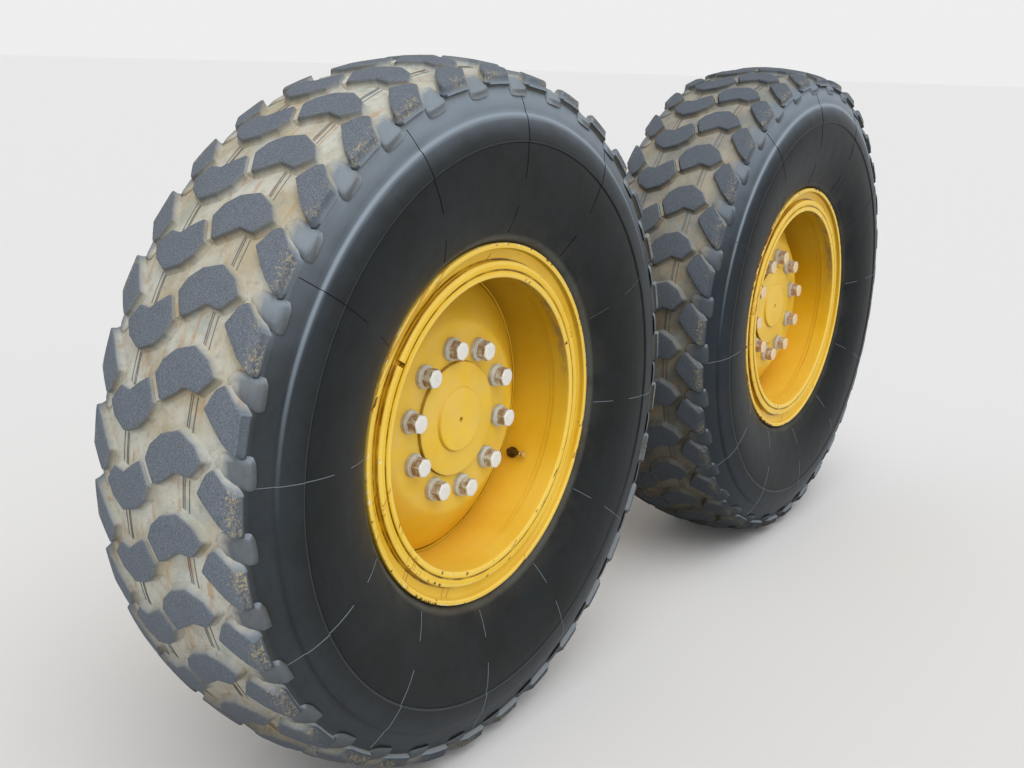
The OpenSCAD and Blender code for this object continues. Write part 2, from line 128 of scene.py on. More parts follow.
class Shader:
    """A shader tree that is written as nested calls."""

    def __init__(self, tree: bpy.types.NodeTree) -> None:
        """Keeps the tree to write in."""
        self.tree = tree

    def node(self, kind: str, inputs: Inputs | None = None, **settings: object) -> Node:
        """Adds a node.

        Args:
            kind: The node's type, without the word ShaderNode in front.
            inputs: Values or sockets for its inputs, by name or number.
            **settings: The node's own properties.

        Returns:
            The node.
        """
        made = self.tree.nodes.new("ShaderNode" + kind)
        for name, value in settings.items():
            setattr(made, name, value)
        for key, value in (inputs or {}).items():
            self.feed(made.inputs[key], value)
        return made

    def feed(self, socket: Socket, value: object) -> None:
        """Links a socket to an input, or sets the input's value.

        Args:
            socket: The input.
            value: A socket to link, or a plain value.
        """
        if isinstance(value, Socket):
            self.tree.links.new(value, socket)
        else:
            socket.default_value = value

    def math(self, how: str, a: object, b: object = 0.0, clamp: bool = False) -> Socket:
        """Adds a Math node and returns its result."""
        return self.node("Math", {0: a, 1: b}, operation=how, use_clamp=clamp).outputs[0]

    def times(self, a: object, b: object, clamp: bool = False) -> Socket:
        """Multiplies two values."""
        return self.math("MULTIPLY", a, b, clamp)

    def plus(self, a: object, b: object, clamp: bool = False) -> Socket:
        """Adds two values."""
        return self.math("ADD", a, b, clamp)

    def minus(self, a: object, b: object) -> Socket:
        """Takes the second value from the first."""
        return self.math("SUBTRACT", a, b)

    def most(self, a: object, b: object) -> Socket:
        """Picks the larger of two values."""
        return self.math("MAXIMUM", a, b)

    def step(self, value: object, low: object, high: object) -> Socket:
        """Rises smoothly from 0 at low to 1 at high.

        Args:
            value: What is measured.
            low: The value that gives 0.
            high: The value that gives 1.

        Returns:
            The share.
        """
        made = self.node("MapRange", interpolation_type="SMOOTHSTEP")
        for key, item in (("Value", value), ("From Min", low), ("From Max", high)):
            self.feed(made.inputs[key], item)
        return made.outputs[0]

    def fall(self, value: object, low: object, high: object) -> Socket:
        """Falls smoothly from 1 at low to 0 at high."""
        return self.minus(1.0, self.step(value, low, high))

    def mix(self, share: object, a: object, b: object) -> Socket:
        """Mixes two colours.

        Args:
            share: How much of the second colour, 0 to 1.
            a: The first colour.
            b: The second colour.

        Returns:
            The mixed colour.
        """
        made = self.node("Mix", data_type="RGBA", blend_type="MIX", clamp_factor=True)
        for key, item in ((0, share), (6, a), (7, b)):
            self.feed(made.inputs[key], item)
        return made.outputs[2]

    def noise(self, place: object, scale: object, detail: float = 4.0, rough: float = 0.55) -> Socket:
        """Adds a noise texture and returns its value."""
        inputs = {"Vector": place, "Scale": scale, "Detail": detail, "Roughness": rough}
        return self.node("TexNoise", inputs).outputs[0]

    def place(self) -> Socket:
        """Returns the object coordinates."""
        return self.node("TexCoord").outputs["Object"]

    def mark(self, mark: Mark) -> Socket:
        """Returns the value of a mesh attribute."""
        return self.node("Attribute", attribute_name=mark.value).outputs["Fac"]

    def moved(self, place: object, by: Vector, stretch: Vector = Vector((1, 1, 1))) -> Socket:
        """Moves and stretches a pattern's coordinates."""
        return self.node("Mapping", {"Vector": place, "Location": by, "Scale": stretch}).outputs[0]

    def split(self, vector: object) -> tuple[Socket, ...]:
        """Splits a vector in its three parts."""
        return tuple(self.node("SeparateXYZ", {0: vector}).outputs)

    def radius(self, across: object, up: object) -> Socket:
        """Returns the distance from an axis."""
        squares = self.plus(self.times(across, across), self.times(up, up))
        return self.math("SQRT", squares)

    def round_axis(self, place: object, stretch: float) -> Socket:
        """Stretches a pattern round the wheel's axis, as knocks, scratches and stains run there.

        Args:
            place: Coordinates from the wheel's centre.
            stretch: Length of the pattern per radian. The smaller, the longer its marks.

        Returns:
            The coordinates to use for the pattern.
        """
        across, out, up = self.split(place)
        angle = self.times(self.math("ARCTAN2", up, across), stretch)
        return self.node("CombineXYZ", {0: angle, 1: self.radius(across, up), 2: out}).outputs[0]


@dataclass(frozen=True)
class WheelSpot:
    """The shaded point of a wheel, measured from a centre on the wheel's axis."""

    shader: Shader
    place: Socket
    across: Socket
    out: Socket
    up: Socket
    radius: Socket

    @classmethod
    def measured(cls, shader: Shader, centre: Vector) -> "WheelSpot":
        """Measures the point.

        Args:
            shader: The material's tree.
            centre: The centre to measure from.

        Returns:
            The measured point.
        """
        place = shader.moved(shader.place(), -centre)
        across, out, up = shader.split(place)
        return cls(shader, place, across, out, up, shader.radius(across, up))

    def line(self, at: float, width: float, full: float = 0.0) -> Socket:
        """Masks a soft line round the wheel.

        Args:
            at: The line's radius.
            width: How far the mask reaches to both sides.
            full: Share of that width over which it is full.

        Returns:
            The mask.
        """
        away = self.shader.math("ABSOLUTE", self.shader.minus(self.radius, at))
        return self.shader.fall(away, width * full, width)

    def ridge(self, at_r: float, at_y: float, width: float) -> Socket:
        """Masks a round edge of the wheel.

        Args:
            at_r: The edge's radius.
            at_y: Its distance outboard of the centre.
            width: How far the mask reaches.

        Returns:
            The mask.
        """
        away = self.shader.radius(self.shader.minus(self.radius, at_r), self.shader.minus(self.out, at_y))
        return self.shader.fall(away, width * 0.45, width)


class Groups:
    """Shader node groups that several finishes share, each built once."""

    @staticmethod
    def open(name: str, takes: Takes, gives: dict[str, str]) -> tuple[Shader, Node, Node] | None:
        """Starts a group with its sockets.

        Args:
            name: The group's name.
            takes: Input names with their socket kind and default.
            gives: Output names with their socket kind.

        Returns:
            The tree, its input node and its output node, or None if the group is there already.
        """
        if name in bpy.data.node_groups:
            return None
        tree = bpy.data.node_groups.new(name, "ShaderNodeTree")
        for title, (kind, default) in takes.items():
            socket = tree.interface.new_socket(title, in_out="INPUT", socket_type="NodeSocket" + kind)
            if default is not None:
                socket.default_value = default
        for title, kind in gives.items():
            tree.interface.new_socket(title, in_out="OUTPUT", socket_type="NodeSocket" + kind)
        shader = Shader(tree)
        return shader, shader.tree.nodes.new("NodeGroupInput"), shader.tree.nodes.new("NodeGroupOutput")

    @staticmethod
    def use(shader: Shader, name: str, inputs: dict[str, object]) -> Node:
        """Places a group in a tree with its own values.

        Args:
            shader: The tree that uses the group.
            name: The group's name.
            inputs: Values or sockets for its inputs, by name.

        Returns:
            The group's node.
        """
        made = shader.tree.nodes.new("ShaderNodeGroup")
        made.node_tree = bpy.data.node_groups[name]
        for key, value in inputs.items():
            shader.feed(made.inputs[key], value)
        return made

    @classmethod
    def edges(cls, shader: Shader, width: float, low: float = 0.05, high: float = 0.4) -> Socket:
        """Masks the outer edges and ridges of a piece.

        Args:
            shader: The tree that uses the mask.
            width: How far the mask reaches from an edge.
            low: Bend of the surface at which the mask starts.
            high: Bend at which it is full.

        Returns:
            The mask.
        """
        takes = {"Width": ("Float", 0.003), "Low": ("Float", 0.05), "High": ("Float", 0.4)}
        opened = cls.open("Edge wear", takes, {"Mask": "Float"})
        if opened:
            tree, start, end = opened
            rounded = tree.node("Bevel", {"Radius": start.outputs["Width"]}, samples=6).outputs[0]
            flat = tree.node("NewGeometry").outputs["Normal"]
            alike = tree.node("VectorMath", {0: rounded, 1: flat}, operation="DOT_PRODUCT")
            bend = tree.minus(1.0, alike.outputs["Value"])
            tree.feed(end.inputs["Mask"], tree.step(bend, start.outputs["Low"], start.outputs["High"]))
        made = cls.use(shader, "Edge wear", {"Width": width, "Low": low, "High": high})
        return made.outputs["Mask"]

    @classmethod
    def dust(cls, shader: Shader, place: object, lying: float, everywhere: float) -> Socket:
        """Masks dust, which lies on faces that look up and is blotchy everywhere.

        Args:
            shader: The tree that uses the mask.
            place: Object coordinates.
            lying: Share on faces that look up.
            everywhere: Share on all faces.

        Returns:
            The mask.
        """
        takes = {"Place": ("Vector", None), "Lying": ("Float", 0.5), "Everywhere": ("Float", 0.2)}
        opened = cls.open("Dust", takes, {"Mask": "Float"})
        if opened:
            tree, start, end = opened
            up = tree.split(tree.node("TexCoord").outputs["Normal"])[2]
            lying_share = tree.times(tree.step(up, 0.2, 0.95), start.outputs["Lying"])
            blotch = tree.step(tree.noise(start.outputs["Place"], 9.0, 6.0, 0.6), 0.38, 0.7)
            fine = tree.noise(start.outputs["Place"], 160.0, 3.0, 0.7)
            share = tree.plus(lying_share, tree.times(blotch, start.outputs["Everywhere"]))
            mask = tree.times(share, tree.step(fine, 0.2, 0.62), clamp=True)
            tree.feed(end.inputs["Mask"], mask)
        made = cls.use(shader, "Dust", {"Place": place, "Lying": lying, "Everywhere": everywhere})
        return made.outputs["Mask"]

    @classmethod
    def chips(cls, shader: Shader, place: object, where: object, size: float, amount: float) -> Socket:
        """Masks small sharp chips and scratches.

        Args:
            shader: The tree that uses the mask.
            place: Object coordinates.
            where: How likely a chip is, 0 to 1.
            size: Scale of the chips.
            amount: Share of the likely places that is chipped.

        Returns:
            The mask.
        """
        takes = {"Place": ("Vector", None), "Where": ("Float", 0.0), "Size": ("Float", 90.0),
                 "Amount": ("Float", 0.4)}
        opened = cls.open("Chips", takes, {"Mask": "Float"})
        if opened:
            tree, start, end = opened
            spots = tree.noise(start.outputs["Place"], start.outputs["Size"], 5.0, 0.62)
            fields = tree.noise(start.outputs["Place"], 11.0, 2.0)
            likely = tree.times(start.outputs["Where"], start.outputs["Amount"])
            likely = tree.times(likely, tree.step(fields, 0.35, 0.6))
            level = tree.minus(0.78, tree.times(likely, 0.4))
            tree.feed(end.inputs["Mask"], tree.step(spots, level, tree.plus(level, 0.015)))
        made = cls.use(shader, "Chips", {"Place": place, "Where": where, "Size": size, "Amount": amount})
        return made.outputs["Mask"]


@dataclass(frozen=True)
class Finish:
    """A finish that makes one material, with a base that the others build on."""

    name: str

    def material(self) -> bpy.types.Material:
        """Makes the material on its first use.

        Returns:
            The material.
        """
        if self.name in bpy.data.materials:
            return bpy.data.materials[self.name]
        made = bpy.data.materials.new(self.name)
        made.use_nodes = True
        made.node_tree.nodes.clear()
        shader = Shader(made.node_tree)
        surface = shader.node("BsdfPrincipled")
        output = shader.node("OutputMaterial")
        shader.tree.links.new(surface.outputs[0], output.inputs[0])
        self.write(shader, surface)
        return made

    def write(self, shader: Shader, surface: Node) -> None:
        """Writes the nodes that feed the surface."""
        raise NotImplementedError

    @staticmethod
    def bump(shader: Shader, surface: Node, height: object, depth: float,
             normal: object | None = None) -> None:
        """Feeds the surface's normal with a bump.

        Args:
            shader: The material's tree.
            surface: Its surface node.
            height: The relief, 0 to 1.
            depth: How deep the relief is.
            normal: A normal to start from, or None for the surface's own.
        """
        inputs: Inputs = {"Height": height, "Distance": depth, "Strength": 1.0}
        if normal is not None:
            inputs["Normal"] = normal
        shader.feed(surface.inputs["Normal"], shader.node("Bump", inputs).outputs[0])


@dataclass(frozen=True)
class Paint(Finish):
    """Yellow machine paint with dust, chips and worn edges."""

    colour: Colour = srgb(231, 172, 38)
    faded: Colour = srgb(238, 190, 74)
    dusty: Colour = srgb(196, 170, 118)
    lying: float = 0.45
    everywhere: float = 0.25
    wear: float = 0.55
    cast: float = 0.0
    splash_top: float = -0.02
    splash_low: float = -0.26
    rubbed: Colour = srgb(247, 214, 120)
    run: Colour = srgb(150, 112, 48)
    mud: Colour = srgb(156, 136, 102)
    chipped: Colour = srgb(86, 60, 42)
    steel: Colour = srgb(158, 156, 152)
    rust: Colour = srgb(140, 104, 76)

    def write(self, shader: Shader, surface: Node) -> None:
        """Writes the paint's colour, roughness, splashed dirt and small dents.

        Args:
            shader: The material's tree.
            surface: Its surface node.
        """
        place = shader.place()
        _, out, up = shader.split(place)
        tone = shader.mix(shader.noise(place, 3.0, 3.0), self.colour, self.faded)
        edges = Groups.edges(shader, 3.5 * MM)
        chips = Groups.chips(shader, place, edges, 130.0, self.wear)
        dust = Groups.dust(shader, place, self.lying, self.everywhere)
        colour = shader.mix(shader.times(edges, 0.25), tone, self.rubbed)
        colour = shader.mix(dust, colour, self.dusty)
        runs = shader.noise(shader.moved(place, Vector((0, 0, 0)), Vector((1, 1, 0.07))), 38.0, 5.0, 0.6)
        runs = shader.times(shader.step(runs, 0.5, 0.72), 0.28)
        colour = shader.mix(runs, colour, self.run)
        splash = self.splash(shader, place, up)
        colour = shader.mix(splash, colour, self.mud)
        colour = shader.mix(chips, colour, self.chipped)
        bare = shader.fall(out, 0.3 * MM, 0.8 * MM)
        rusting = shader.step(shader.noise(place, 16.0, 8.0, 0.7), 0.42, 0.72)
        rusting = shader.times(rusting, 0.55)
        steel = shader.mix(rusting, self.steel, self.rust)
        shader.feed(surface.inputs["Base Color"], shader.mix(bare, colour, steel))
        shader.feed(surface.inputs["Metallic"], shader.times(bare, 0.5))
        soiled = shader.most(dust, splash)
        rough = shader.plus(0.36, shader.times(soiled, 0.45))
        shader.feed(surface.inputs["Roughness"], shader.plus(rough, shader.times(chips, 0.3)))
        peel = shader.times(shader.noise(place, 220.0, 2.0), 0.25)
        sand = shader.times(shader.noise(place, 340.0, 4.0, 0.7), self.cast)
        height = shader.minus(shader.plus(peel, sand), chips)
        smooth = shader.node("Bevel", {"Radius": 2.0 * MM}, samples=4).outputs[0]
        self.bump(shader, surface, height, 0.3 * MM, smooth)

    def splash(self, shader: Shader, place: Socket, up: Socket) -> Socket:
        """Masks the mud on the lower sides, as drops and as a film.

        Args:
            shader: The material's tree.
            place: Object coordinates.
            up: Height over the axle.

        Returns:
            The mask.
        """
        low = shader.fall(up, self.splash_low, self.splash_top)
        level = shader.minus(0.74, shader.times(low, 0.3))
        drops = shader.step(shader.noise(place, 85.0, 8.0, 0.72), level, shader.plus(level, 0.12))
        painted_sheen = shader.times(shader.step(shader.noise(place, 7.0, 5.0, 0.6), 0.3, 0.7), low)
        return shader.most(shader.times(drops, 0.6), shader.times(painted_sheen, 0.45))


@dataclass(frozen=True)
class RimPaint(Finish):
    """Golden paint of a wheel, chipped round the flange and dusty on the pad."""

    centre: Vector
    flange_r: float
    lock_r: float
    gutter_r: float
    lip_r: float
    pad_r: float
    plug_r: float
    weld_y: float
    seed: float
    colour: Colour = srgb(233, 184, 22)
    bright: Colour = srgb(243, 202, 58)
    dusty: Colour = srgb(226, 196, 122)
    pale: Colour = srgb(246, 234, 204)
    scratch: Colour = srgb(178, 112, 30)
    dirt: Colour = srgb(104, 70, 24)
    shade: Colour = srgb(40, 20, 0)
    rubbed: Colour = srgb(252, 224, 122)
    dark_rust: Colour = srgb(66, 44, 34)
    light_rust: Colour = srgb(150, 92, 44)
    scuffed: Colour = srgb(142, 128, 104)

    def write(self, shader: Shader, surface: Node) -> None:
        """Writes the wheel paint round the centre of its flange's edge.

        Args:
            shader: The material's tree.
            surface: Its surface node.
        """
        spot = WheelSpot.measured(shader, self.centre)
        spotted = shader.moved(spot.place, Vector((self.seed, 0, self.seed)))
        knocks = shader.round_axis(spotted, 0.17)
        edge, rims = self.edges(spot)
        face = shader.times(shader.step(spot.radius, self.lip_r + 2 * MM, self.lip_r + 8 * MM), 0.36)
        where = shader.most(shader.most(shader.times(edge, 1.1), face), shader.times(rims, 0.7))
        chips = Groups.chips(shader, knocks, where, 90.0, 0.66)
        pale = Groups.chips(shader, shader.moved(knocks, Vector((3, 1, 7))), where, 76.0, 0.54)
        forward = shader.times(face, shader.step(spot.across, -0.1, 0.2))
        streaks = Groups.chips(shader, shader.round_axis(spotted, 0.02), forward, 170.0, 1.7)
        dust = self.pad_dust(spot)
        tone = shader.mix(shader.step(shader.noise(spotted, 5.0, 4.0), 0.3, 0.7), self.colour, self.bright)
        colour = shader.mix(shader.times(rims, 0.4), tone, self.rubbed)
        colour = shader.mix(dust, colour, self.dusty)
        colour = shader.mix(shader.times(streaks, 0.6), colour, self.scratch)
        colour = shader.mix(pale, colour, self.pale)
        rust = shader.mix(shader.noise(spot.place, 300.0, 2.0), self.dark_rust, self.light_rust)
        colour = shader.mix(chips, colour, rust)
        colour = shader.mix(self.seams(spot), colour, self.dirt)
        colour = shader.mix(self.scuff(spot), colour, self.scuffed)
        # Painted shade: the inside of the band is mixed towards dark brown where it looks down.
        shader.feed(surface.inputs["Base Color"], shader.mix(self.painted_roof_shade(shader), colour, self.shade))
        surface.inputs["Specular IOR Level"].default_value = 0.3
        rough = shader.plus(0.32, shader.times(dust, 0.4))
        shader.feed(surface.inputs["Roughness"], shader.plus(rough, shader.times(chips, 0.3)))
        peel = shader.times(shader.noise(spot.place, 130.0, 3.0), 0.5)
        self.bump(shader, surface, shader.minus(peel, shader.most(chips, pale)), 0.35 * MM)

    def edges(self, spot: WheelSpot) -> tuple[Socket, Socket]:
        """Masks the round edges that knocks reach.

        Args:
            spot: The point of the wheel.

        Returns:
            The mask of the flange's outer edge, and that of all edges.
        """
        edge = spot.ridge(self.flange_r - 1.5 * MM, -1.5 * MM, 5 * MM)
        inner = spot.ridge(self.flange_r - 9 * MM, -1 * MM, 3.5 * MM)
        lock = spot.ridge(self.lock_r - 4 * MM, -3 * MM, 5 * MM)
        lip = spot.ridge(self.lip_r + 5 * MM, -3 * MM, 6 * MM)
        most = spot.shader.most
        return edge, most(most(edge, inner), most(lock, lip))

    def seams(self, spot: WheelSpot) -> Socket:
        """Masks the dirt in the seams beside the loose rings, round the plug and at the disc's weld.

        Args:
            spot: The point of the wheel.

        Returns:
            The mask.
        """
        shader = spot.shader
        front = shader.step(spot.out, -24 * MM, -20 * MM)
        rings = shader.most(spot.line(self.lock_r + 1.2 * MM, 2.6 * MM, 0.4),
                            spot.line(self.gutter_r + 1.6 * MM, 2.4 * MM, 0.4))
        plug = shader.times(spot.line(self.plug_r + 0.5 * MM, 1.1 * MM, 0.4), 0.7)
        weld = shader.times(spot.ridge(self.lip_r - 2 * MM, self.weld_y + 5.8 * MM, 4 * MM), 0.9)
        broken = shader.step(shader.noise(spot.place, 24.0, 4.0), 0.3, 0.6)
        share = shader.plus(0.35, shader.times(broken, 0.6))
        return shader.times(shader.most(shader.times(rings, front), shader.most(plug, weld)), share)

    def scuff(self, spot: WheelSpot) -> Socket:
        """Masks the scuffs inside the lip, behind and above the axle.

        Args:
            spot: The point of the wheel.

        Returns:
            The mask.
        """
        shader = spot.shader
        inside = spot.line(self.lip_r, 4 * MM, 0.4)
        depth = shader.times(shader.step(spot.out, -30 * MM, -12 * MM),
                             shader.fall(spot.out, -6 * MM, -2 * MM))
        where = shader.times(shader.step(spot.up, -0.02, 0.14), shader.fall(spot.across, 0.0, 0.1))
        streaks = shader.noise(shader.round_axis(spot.place, 0.08), 90.0, 6.0, 0.7)
        marks = shader.times(shader.step(streaks, 0.4, 0.6), 0.75)
        return shader.times(shader.times(inside, depth), shader.times(where, marks))

    @staticmethod
    def painted_roof_shade(shader: Shader) -> Socket:
        """Masks painted shade inside the band, darkest where it looks down in the world.

        Args:
            shader: The material's tree.

        Returns:
            The mask.
        """
        _, out, up = shader.split(shader.node("NewGeometry").outputs["Normal"])
        inside = shader.fall(shader.math("ABSOLUTE", out), 0.3, 0.7)
        return shader.times(shader.times(shader.fall(up, -1.0, 0.7), inside), 0.56)

    def pad_dust(self, spot: WheelSpot) -> Socket:
        """Masks the tan dust on the pad and, thinner, in the dish.

        Args:
            spot: The point of the wheel.

        Returns:
            The mask.
        """
        shader = spot.shader
        blotch = shader.step(shader.noise(spot.place, 14.0, 6.0, 0.65), 0.3, 0.75)
        on_pad = shader.times(shader.fall(spot.radius, self.pad_r - 20 * MM, self.pad_r + 70 * MM), 0.42)
        lying = Groups.dust(shader, spot.place, 0.25, 0.1)
        return shader.plus(shader.times(on_pad, blotch), lying, clamp=True)


@dataclass(frozen=True)
class Rubber(Finish):
    """Tyre rubber: worn lugs, dust in the grooves and a satin sidewall."""

    centre: Vector
    dustiness: float
    # How chalky the lug tops are; below 1 they darken, partly as painted shade.
    chalk_and_shade: float
    # Painted shade on the lower tread: its strength and the height where it ends.
    tread_shade: float
    shade_ends_at: float
    dust_colour: Colour
    black: Colour = srgb(13, 20, 24)
    shoulder: Colour = srgb(31, 40, 49)
    rib_r: float = 0.535
    crease_r: float = 0.581
    lug_dark: Colour = srgb(78, 88, 99)
    lug_light: Colour = srgb(130, 139, 151)
    lug_cloud: Colour = srgb(98, 98, 102)
    lug_edge: Colour = srgb(112, 126, 140)
    seam_lit: Colour = srgb(116, 124, 130)
    seam_shaded: Colour = srgb(8, 10, 12)
    crumb_dark: Colour = srgb(138, 124, 94)
    crumb_light: Colour = srgb(206, 192, 154)
    # Colour of the painted shade on the lower tread.
    tread_shade_colour: Colour = srgb(22, 22, 20)
    wall_cloud: Colour = srgb(40, 48, 55)
    rim_dirt: Colour = srgb(88, 82, 66)
    crease_highlight: Colour = srgb(134, 148, 160)
    rib_dust: Colour = srgb(116, 118, 114)
    painted_sheen: Colour = srgb(152, 165, 178)
    tan: Colour = srgb(188, 176, 148)
    green_grey: Colour = srgb(160, 170, 166)
    stain: Colour = srgb(190, 150, 104)
    fine_dirt: Colour = srgb(136, 126, 104)

    def write(self, shader: Shader, surface: Node) -> None:
        """Writes the rubber round the wheel's own centre.

        Args:
            shader: The material's tree.
            surface: Its surface node.
        """
        spot = WheelSpot.measured(shader, self.centre)
        dust = shader.mark(Mark.DUST)
        worn = shader.mark(Mark.WORN)
        speck = shader.noise(spot.place, 500.0, 3.0, 0.75)
        cloud = shader.noise(spot.place, 16.0, 5.0, 0.6)
        high = shader.math("DIVIDE", spot.up, spot.radius)
        side = self.wall(spot, high, cloud)
        # Flash lines are painted light on the lower half of the wheel and dark on the upper half, as lit and
        # shaded copies of one rubber.
        seam = shader.mix(shader.step(high, 0.2, 0.6), self.seam_lit, self.seam_shaded)
        side = shader.mix(shader.mark(Mark.SEAM), side, seam)
        tread = shader.mix(worn, side, self.lug(shader, worn, speck, cloud))
        crumbs = shader.mix(shader.step(speck, 0.3, 0.7), self.crumb_dark, self.crumb_light)
        torn = shader.times(self.torn(spot, worn), 0.85 * self.chalk_and_shade)
        tread = shader.mix(torn, tread, crumbs)
        share = shader.times(dust, shader.plus(0.55, shader.times(cloud, 0.9)))
        share = shader.times(share, shader.step(speck, 0.05, 0.5))
        share = shader.times(share, self.dustiness, clamp=True)
        dusted_and_lit = shader.mix(share, tread, self.dirt(spot, cloud))
        on_tread = shader.most(worn, dust)
        # Painted shade: the tread is mixed towards near-black from the bottom of the wheel up to a height
        # that each wheel sets.
        tread_shade = shader.times(shader.fall(high, -0.95, self.shade_ends_at), self.tread_shade)
        tread_shade = shader.times(tread_shade, shader.step(on_tread, 0.1, 0.5))
        shader.feed(surface.inputs["Base Color"], shader.mix(tread_shade, dusted_and_lit, self.tread_shade_colour))
        rough = shader.plus(0.4, shader.times(shader.most(worn, share), 0.45))
        shader.feed(surface.inputs["Roughness"], rough)
        surface.inputs["Specular IOR Level"].default_value = 0.1
        self.bump(shader, surface, shader.times(speck, shader.plus(0.1, on_tread)), 0.7 * MM)

    def lug(self, shader: Shader, worn: Socket, speck: Socket, cloud: Socket) -> Socket:
        """Colours the worn tops and edges of the lugs.

        Args:
            shader: The material's tree.
            worn: The mark of worn rubber.
            speck: A fine noise.
            cloud: A broad noise.

        Returns:
            The colour.
        """
        top = shader.mix(shader.step(speck, 0.32, 0.7), self.lug_dark, self.lug_light)
        top = shader.mix(shader.times(cloud, 0.3), top, self.lug_cloud)
        top = shader.mix(shader.fall(worn, 0.45, 0.7), top, self.lug_edge)
        # Lug tops are mixed towards black as this share drops below 1, which on the rear wheel is partly
        # painted shade.
        return shader.mix(1.0 - self.chalk_and_shade, top, self.black)

    def wall(self, spot: WheelSpot, high: Socket, cloud: Socket) -> Socket:
        """Colours the sidewall, with dust on its ledges, a painted highlight and painted shade along its
        crease, and a painted sheen of sky reflection where its upper half faces up.

        Args:
            spot: The point of the wheel.
            high: Height on the wheel, from -1 at the bottom to 1 at the top.
            cloud: A broad noise.

        Returns:
            The colour.
        """
        shader, radius = spot.shader, spot.radius
        side = shader.mix(shader.step(radius, self.rib_r - 8 * MM, self.crease_r), self.black, self.shoulder)
        side = shader.mix(shader.times(cloud, 0.16), side, self.wall_cloud)
        near_rim = shader.times(shader.fall(radius, 362 * MM, 410 * MM), shader.step(cloud, 0.35, 0.65))
        side = shader.mix(shader.times(near_rim, 0.15), side, self.rim_dirt)
        # Along the crease: a painted highlight on the upper part of the wheel and painted shade on the lower
        # part, as if lit from above.
        dusted_and_lit = shader.times(spot.line(self.crease_r + 1.5 * MM, 4.5 * MM), shader.step(high, -0.1, 0.7))
        side = shader.mix(shader.times(dusted_and_lit, 0.8), side, self.crease_highlight)
        shaded = shader.times(spot.line(self.crease_r + 3 * MM, 5 * MM), shader.fall(high, -0.5, 0.2))
        side = shader.mix(shader.times(shaded, 0.7), side, self.black)
        rib = spot.line(self.rib_r + MM, 3 * MM)
        side = shader.mix(shader.times(rib, 0.2), side, self.rib_dust)
        # Painted sheen: a pale sky reflection where the upper sidewall faces up.
        facing_up = shader.step(shader.split(shader.node("TexCoord").outputs["Normal"])[2], 0.1, 0.48)
        painted_sheen = shader.times(facing_up, shader.step(radius, self.rib_r - 20 * MM, self.crease_r + 20 * MM))
        return shader.mix(shader.times(painted_sheen, 0.66), side, self.painted_sheen)

    def dirt(self, spot: WheelSpot, cloud: Socket) -> Socket:
        """Colours the dried dust, from cream through tan to a brown and a greenish grey.

        Args:
            spot: The point of the wheel.
            cloud: A broad noise.

        Returns:
            The colour.
        """
        shader = spot.shader
        patches = shader.noise(spot.place, 7.0, 5.0, 0.6)
        fine = shader.noise(spot.place, 70.0, 6.0, 0.7)
        warm = shader.mix(shader.step(patches, 0.42, 0.66), self.dust_colour, self.tan)
        cool = shader.mix(shader.times(shader.step(cloud, 0.5, 0.72), 0.6), warm, self.green_grey)
        stains = shader.noise(shader.round_axis(spot.place, 0.12), 75.0, 4.0, 0.6)
        stained = shader.mix(shader.times(shader.step(stains, 0.54, 0.68), 0.6), cool, self.stain)
        return shader.mix(shader.times(shader.step(fine, 0.5, 0.72), 0.4), stained, self.fine_dirt)

    @staticmethod
    def torn(spot: WheelSpot, worn: Socket) -> Socket:
        """Masks torn and chipped rubber on the outer ends of the shoulder lugs.

        Args:
            spot: The point of the wheel.
            worn: The mark of worn rubber.

        Returns:
            The mask.
        """
        shader = spot.shader
        reach = shader.step(shader.math("ABSOLUTE", spot.out), 136 * MM, 160 * MM)
        level = shader.minus(0.6, shader.times(reach, 0.14))
        tears = shader.step(shader.noise(spot.place, 190.0, 6.0, 0.72), level, shader.plus(level, 0.12))
        fields = shader.step(shader.noise(spot.place, 12.0, 2.0), 0.38, 0.6)
        where = shader.times(shader.times(shader.step(reach, 0.0, 0.3), tears), fields)
        return shader.times(where, shader.step(worn, 0.46, 0.6))


@dataclass(frozen=True)
class Zinc(Finish):
    """Bolt steel: bright worn end faces, rusty flats and light edges."""

    rust: Colour = srgb(138, 100, 66)
    bright: Colour = srgb(250, 250, 244)
    plain: Colour = srgb(206, 208, 196)
    rusty: float = 0.62
    speck: Colour = srgb(122, 110, 94)

    def write(self, shader: Shader, surface: Node) -> None:
        """Writes worn zinc from the worn mark and the edges.

        Args:
            shader: The material's tree.
            surface: Its surface node.
        """
        place = shader.place()
        worn = shader.mark(Mark.WORN)
        edges = Groups.edges(shader, 2.4 * MM, 0.01, 0.09)
        blotch = shader.step(shader.noise(place, 70.0, 5.0, 0.65), 0.36, 0.6)
        side = shader.mix(shader.times(blotch, self.rusty), self.plain, self.rust)
        colour = shader.mix(shader.most(worn, shader.times(edges, 0.75)), side, self.bright)
        fine = shader.noise(place, 700.0, 3.0, 0.7)
        colour = shader.mix(shader.times(shader.step(fine, 0.42, 0.66), 0.36), colour, self.speck)
        shader.feed(surface.inputs["Base Color"], colour)
        shader.feed(surface.inputs["Metallic"], shader.plus(0.1, shader.times(worn, 0.3)))
        shader.feed(surface.inputs["Roughness"], shader.minus(0.62, shader.times(worn, 0.24)))
        self.bump(shader, surface, shader.plus(fine, blotch), 0.15 * MM)


